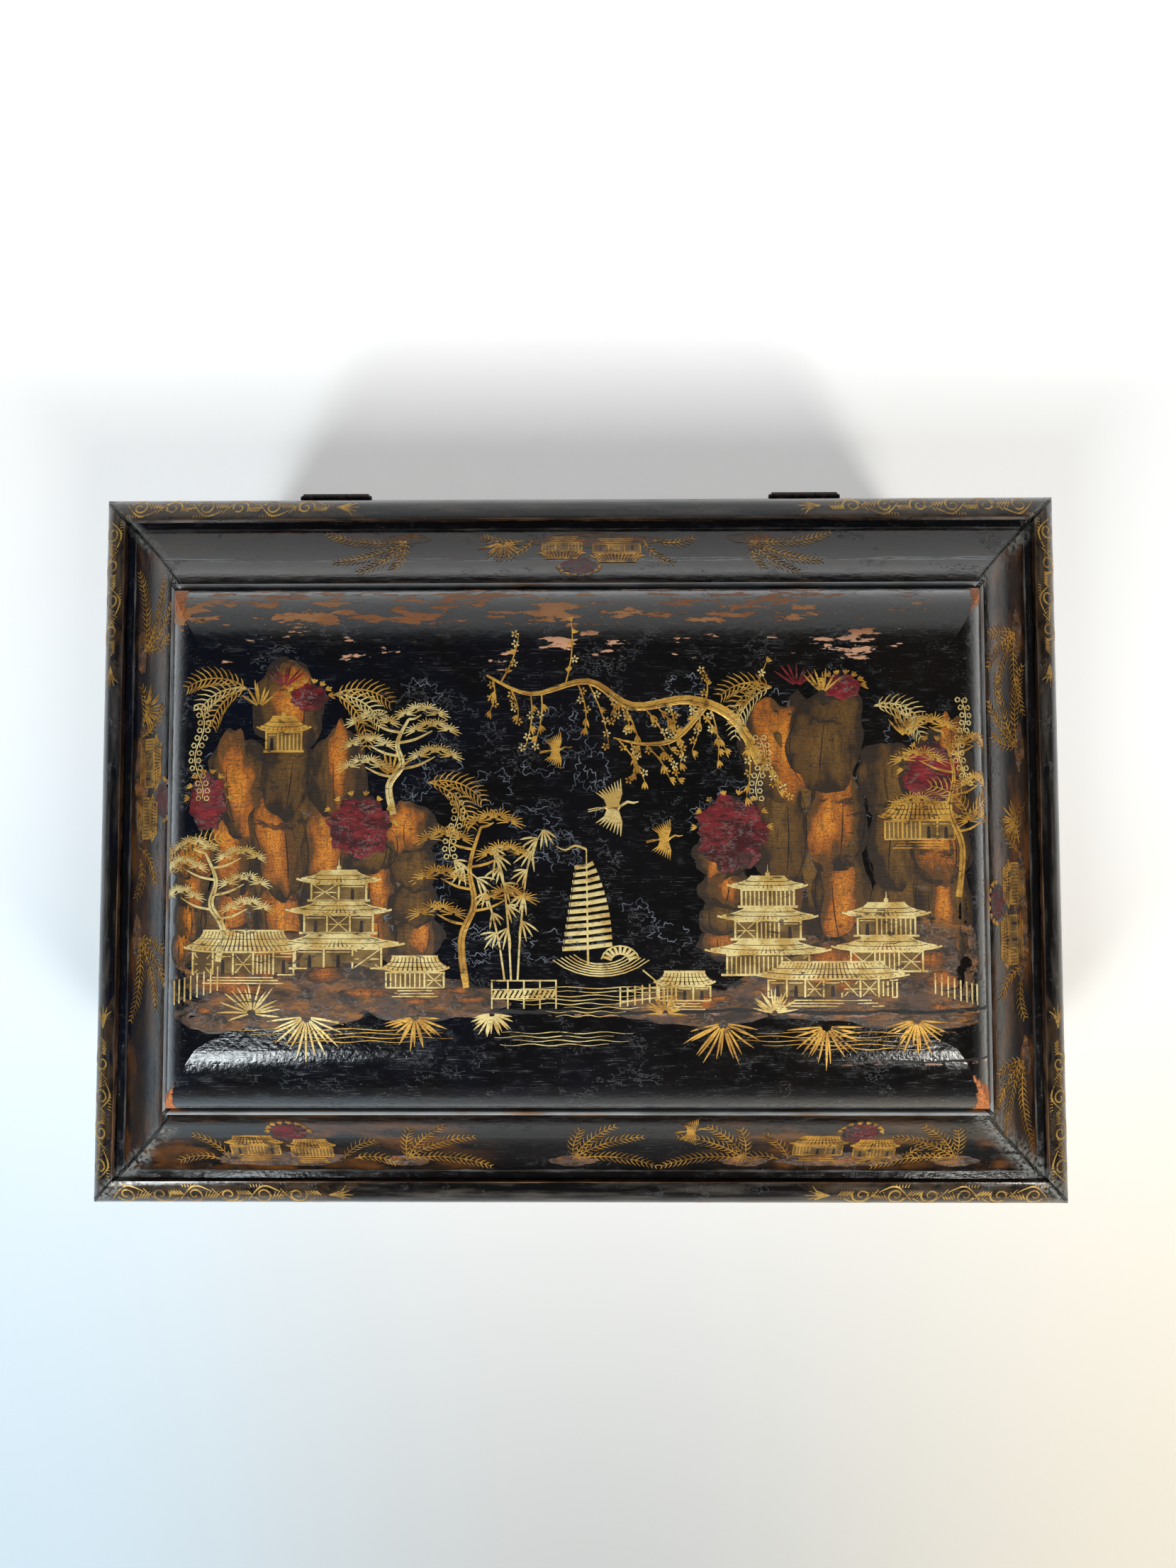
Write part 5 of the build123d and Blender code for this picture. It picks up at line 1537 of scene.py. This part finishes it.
# %% Veils, cliffs, banks and bushes
cushion = new_coats(lid_ground)
pen = Pen(cushion)
for _ in range(64):
    veil(pen, chance.uniform(-118, 118), chance.uniform(-34, 52),
         chance.uniform(4, 8.5), chance.uniform(3.5, 7.5), 2)
for x, y, wide, high, columns, lean in (
    (-93, -36, 46, 86, 3, 0.04), (-56, -36, 26, 52, 2, -0.05), (74, -36, 34, 104, 2, -0.04),
    (107, -36, 32, 82, 2, 0.02), (-122, -38, 12, 34, 1, 0.0), (46, -36, 14, 34, 1, 0.0),
):
    cliff(pen, x, y, wide, high, columns, lean)
for x, y, wide, high, orange in (
    (-90, -44, 40, 12, 6), (-46, -48, 24, 6.5, 3), (90, -42, 42, 14, 7), (104, -36, 24, 15, 4),
    (-100, -38, 26, 12, 3), (38, -50, 26, 6.0, 5), (-112, -53, 14, 5, 1), (112, -52, 16, 5, 2),
):
    bank(pen, x, y, wide, high, orange)
for x, y, wide, high in ((-68, 6, 10.5, 10), (-116, 14, 6, 9), (49, 4, 11, 12), (112, 22, 9, 11),
                         (-84, 47, 6, 4.5), (84, 50, 6, 4)):
    bush(pen, x, y, wide, high)
print("rock faces:", len(cushion["brown_bronze"].faces) + len(cushion["orange_bronze"].faces))

# %% Fronds, vines and reeds on the rocks
for x, y, angles in (
    (-104, 50, (140, 165, 188)), (-76, 48, (30, 5, -20)), (-46, 20, (20, -8)), (62, 50, (150, 172, 195)),
    (94, 44, (25, 5)), (124, 8, (60, 100)), (-124, -8, (120, 80, 150)),
):
    for angle in angles:
        frond(pen, "pale_gold" if angle % 2 else "old_gold", x, y, angle, chance.uniform(15, 21),
              70 if angle < 90 else -70, 4.6)
for x, y, length in ((-119, 44, 30), (-38, 16, 18), (122, 46, 26), (58, 34, 20)):
    vine(pen, "pale_gold", x, y, length)
for x, y, ink in ((-92, 50, "crimson"), (70, 50, "crimson"), (78, 48, "old_gold"), (-58, 22, "old_gold"),
                  (104, 34, "old_gold"), (-100, 44, "old_gold")):
    reeds(pen, ink, x, y, 9, 40, 140, 7)
print("gilt faces so far:", len(cushion["old_gold"].faces) + len(cushion["pale_gold"].faces))

# %% Trees, houses, birds and boat
pine(pen, -34, -44, 50, 1)
pine(pen, 120, -16, 52, -1)
pine(pen, -112, -36, 34, -1, "pale_gold", 4.0)
pine(pen, -57, 10, 30, 1, "pale_gold", 4.2)
pagoda(pen, -74, -38, 36, 3)
gallery(pen, -104, -40, 32, 7.0)
gallery(pen, -50, -44, 18, 5.0)
pagoda(pen, 60, -40, 34, 3)
pagoda(pen, 97, -39, 30, 2)
gallery(pen, 80, -47, 40, 5.6)
gallery(pen, 108, 2, 22, 6.0, "old_gold")
gallery(pen, 34, -48, 16, 4.6)
pagoda(pen, -92, 30, 15, 1, "old_gold")
fence(pen, -127, -50, 15, 7.5, 8, rise=5)
fence(pen, 14, -50, 16, 6, 8, rise=2)
fence(pen, 112, -46, 14, 6.5, 8, rise=-4)
plum(pen, [(58, 26), (50, 40), (36, 46), (18, 44), (4, 52), (-14, 48), (-28, 54)],
     twigs=22, hang=(9, 22), width=2.8)
plum(pen, [(42, 45), (32, 34), (22, 32), (12, 34)], twigs=7, hang=(6, 16), width=1.5)
for x, bow in ((-22, -16), (-20, -6), (-18, 8)):
    bamboo(pen, "pale_gold", x, -42, 44 + bow * 0.4, bow)
crane(pen, 12, 12, 1.25)
crane(pen, 28, 2, 0.9, "old_gold")
crane(pen, -6, 30, 0.8, "old_gold")
jetty(pen, -26, -46, 20)
boat(pen, 8, -37)
ripples(pen, 6, -44, 60, 8)
ripples(pen, -70, -57, 76, 4, "old_gold")
ripples(pen, 84, -58, 76, 5, "old_gold")
ripples(pen, -6, -58, 50, 4)
for x, y, radius, low, high, ink in (
    (-84, -53, 15, -175, -5, "pale_gold"), (-101, -52, 11, -10, 190, "pale_gold"),
    (-50, -53, 11, -170, -10, "old_gold"), (46, -55, 14, -172, -8, "old_gold"),
    (78, -56, 14, -175, -5, "old_gold"), (106, -54, 12, -170, -10, "old_gold"),
    (28, -52, 8, 0, 180, "old_gold"), (-26, -52, 8, -170, -10, "pale_gold"),
    (62, -52, 8, 10, 170, "pale_gold"),
):
    reeds(pen, ink, x, y, radius, low, high, 15)
print("cushion strokes and pads:", {ink: len(coat.faces) for ink, coat in cushion.items()})

# %% [markdown]
# The hollow of each moulding has small scenes of its own, with their feet at the outer edge, so
# that they stand upright when the box is turned. They are the cushion's motifs again, drawn
# smaller, because a decorator has one set of them. Here the gold and the red are more worn.

# %% Scenes in the hollows
frame_work = new_coats(lid_ground)
frame_work["old_gold"].material = gilding("hollow_gold", shade(210, 156, 64), shade(140, 98, 38), 0.42)
frame_work["crimson"].material = paste_paint("hollow_crimson", shade(48, 9, 12), shade(88, 14, 20),
                                             shade(108, 26, 28), 0.6)
COVE_BASE = 17.0
TURNS = {"front": 0, "right": 90, "back": 180, "left": -90}


def side_pen(side, along, size=0.8):
    """A pen that stands on the foot of one hollow, at this place along it."""
    out_x, out_y = {"front": (0, -1), "right": (1, 0), "back": (0, 1), "left": (-1, 0)}[side]
    x = along if out_x == 0 else out_x * (LID_HALF_WIDTH - COVE_BASE)
    y = along if out_y == 0 else out_y * (LID_HALF_DEPTH - COVE_BASE)
    return Pen(frame_work, (x, y), size, TURNS[side])


def hamlet(side, along):
    """Houses on a bank with a bush behind and ferns beside."""
    small = side_pen(side, along, 0.92)
    bank(small, 0, 2, 26, 3.6, orange=3)
    bush(small, 6, 15, 7, 4.5)
    gallery(small, -9, 4, 19, 4.6, gold="old_gold")
    gallery(small, 13, 3, 16, 4.2, gold="old_gold")
    for x, angle in ((-20, 105), (-24, 155), (25, 62), (29, 22)):
        frond(small, "old_gold", x, 2, angle, 17, 50 if angle < 90 else -50, 3.3, 2.0, 0.42)


def fern_spray(side, along, lean=1):
    """A low spray of ferns that fans out from one root."""
    small = side_pen(side, along, 0.95)
    bank(small, 0, 1, 9, 2.4, orange=1)
    for angle, reach in ((12, 31), (40, 27), (64, 22), (98, 14)):
        frond(small, "old_gold", 0, 2, angle if lean > 0 else 180 - angle, reach, 34 * lean, 3.4, 2.0, 0.42)


for side, along in (("front", -108), ("front", 94), ("back", 6), ("left", 22), ("right", -26)):
    hamlet(side, along)
for side, along, lean in (("front", -62, 1), ("front", -2, 1), ("front", 60, -1), ("front", 136, -1),
                          ("back", -64, 1), ("back", 64, -1), ("left", -34, 1), ("left", 72, -1),
                          ("right", 36, 1), ("right", -78, -1), ("right", 78, -1)):
    fern_spray(side, along, lean)
crane(side_pen("front", 40, 0.9), 0, 16, 1.0, "old_gold")
for side, along in (("right", 8), ("back", -28), ("left", 50)):
    reeds(side_pen(side, along, 0.9), "old_gold", 0, 3, 11, 15, 165)
print("hollow scenes:", {ink: len(coat.faces) for ink, coat in frame_work.items()})

# %% [markdown]
# The ovolo carries a gilt scroll border that runs a short way from each corner. It is drawn once,
# along a straight line, and pens that are turned and mirrored put it on the four sides.

# %% Scroll borders on the ovolo
BORDER_MIDDLE, SCROLL_START, SCROLL_STEP = 5.0, 15.0, 12.5
EDGE_X, EDGE_Y = LID_HALF_WIDTH, LID_HALF_DEPTH
CORNERS = (
    ("front", (-EDGE_X, -EDGE_Y), 0, False), ("front", (EDGE_X, -EDGE_Y), 0, True),
    ("back", (EDGE_X, EDGE_Y), 180, False), ("back", (-EDGE_X, EDGE_Y), 180, True),
    ("left", (-EDGE_X, EDGE_Y), -90, False), ("left", (-EDGE_X, -EDGE_Y), -90, True),
    ("right", (EDGE_X, -EDGE_Y), 90, False), ("right", (EDGE_X, EDGE_Y), 90, True),
)


def scroll_border(pen, length):
    """Scrolls that turn in and out by turns, with feathered leaves between them."""
    place, hand = SCROLL_START, 1
    while place < length - 8:
        spiral(pen, "border_gold", place, BORDER_MIDDLE, 3.6, 200 if hand > 0 else 20, 1.4, hand, 0.8)
        wave = [(place - 6, BORDER_MIDDLE - 2.6 * hand), (place, BORDER_MIDDLE + 3.6 * hand),
                (place + 6.5, BORDER_MIDDLE + 1.4 * hand)]
        pen.line("border_gold", curved(wave, 5), 0.85, ends=(0.3, 0.4))
        for k in range(5):
            root = (place + 3.0 + k * 1.0, BORDER_MIDDLE - 1.8 * hand)
            leaf = [root, (root[0] + 1.0, root[1] + 1.3 * hand),
                    (root[0] + 1.8 + 0.4 * k, root[1] + 3.4 * hand)]
            pen.line("border_gold", leaf, 0.75, ends=(0.6, 0.2))
            tuft = [(place - 4 + k, BORDER_MIDDLE + 3.2 * hand),
                    (place - 4.6 + 1.2 * k, BORDER_MIDDLE + 4.4 * hand)]
            pen.line("border_gold", tuft, 0.6, ends=(0.8, 0.3))
        place += SCROLL_STEP
        hand = -hand
    for k in range(5):
        tip = (length + 3 - 1.3 * abs(k - 2), BORDER_MIDDLE + (k - 2) * 1.9)
        petal = [(length - 6, BORDER_MIDDLE), (length - 1, BORDER_MIDDLE + (k - 2) * 0.9), tip]
        pen.line("border_gold", petal, 0.8, ends=(0.4, 0.3))


for side, corner, turn, mirrored in CORNERS:
    long_side = side in ("front", "back")
    ends_at = LID_HALF_WIDTH - BORDER_END_LONG if long_side else LID_HALF_DEPTH - BORDER_END_SHORT
    scroll_border(Pen(frame_work, corner, 1.0, turn, mirrored), ends_at - 3)
print("border strokes:", len(frame_work["border_gold"].faces))

# %% [markdown]
# The walls of the case can't be seen in the photograph. They get the same kind of work: a double
# gilt line as a frame, and on each side a bank with houses, cliffs and trees.

# %% Decoration on the case
case_work = {side: new_coats(ground) for side, ground in case_grounds.items()}
PANEL_TOP, PANEL_FOOT, FRAME_REACH = 36.0, -36.0, 43.0


def wall_scene(side, half):
    """A framed landscape on one wall, half as wide as given to each side of its middle."""
    pen = Pen(case_work[side])
    for gap, width in ((5.0, 0.8), (7.0, 0.4)):
        edge, top = half - gap, FRAME_REACH - gap
        for v in (top, -top):
            pen.line("old_gold", [(-edge + 2 * edge * s / 24, v) for s in range(25)], width)
        for u in (-edge, edge):
            pen.line("old_gold", [(u, -top + 2 * top * s / 8) for s in range(9)], width)
    for mirrored in (False, True):
        cornered = Pen(case_work[side], (0, 0), 1.0, 0, mirrored)
        for v, hand in ((PANEL_FOOT + 7, 1), (PANEL_TOP - 7, -1)):
            spiral(cornered, "old_gold", -half + 15, v, 4.4, 200, 1.4, hand, 0.7)
            spiral(cornered, "old_gold", -half + 25, v - 1.5 * hand, 3.0, 20, 1.2, -hand, 0.6)
    middle = half * 0.52
    for place, flip in ((-middle, 1), (middle, -1)):
        cliff(pen, place - 26 * flip, -30, 24, 50, 4, 0.03 * flip)
        cliff(pen, place + 6 * flip, -30, 18, 38, 3, -0.03 * flip)
        bank(pen, place - 6 * flip, -31, 38, 5, 3)
        bush(pen, place + 20 * flip, -6, 7, 6)
        pine(pen, place + 30 * flip, -30, 40, flip)
    pagoda(pen, -middle - 4, -27, 24, 2)
    gallery(pen, -middle - 28, -28, 20, 5.4)
    gallery(pen, middle + 8, -28, 26, 5.8)
    crane(pen, -14, 22, 0.9)
    crane(pen, 12, 27, 0.7, "old_gold")
    for x in (-middle - 34, -10, 12, middle + 32):
        reeds(pen, "old_gold", x, -32, 8, 5, 175)
    ripples(pen, 0, -29, 30, 3)


for side in case_work:
    wall_scene(side, CASE_HALF_WIDTH if side in ("front", "back") else CASE_HALF_DEPTH)
print("case strokes:", sum(len(c.faces) for coats in case_work.values() for c in coats.values()))

# %% [markdown]
# Until now the strokes are lists of corners and faces. Each coat becomes one mesh, which rides on
# the lid or the case. A piece for each colour and face keeps the count low, and a colour can still
# be changed by itself.

# %% Turn the coats into pieces
decorated = [("cushion", cushion, "lid", "lid_panel_lacquer"),
             ("lid_frame", frame_work, "lid", "lid_frame_lacquer")]
decorated += [(f"case_{side}", coats, "case", "case_lacquer") for side, coats in case_work.items()]
made = []
for title, coats, body, slot in decorated:
    for ink, coat in coats.items():
        if coat.faces:
            made.append(coat.make(f"{title}_{ink}", body, slot))
print(len(made), "coats,", sum(len(p.data.polygons) for p in made), "faces")
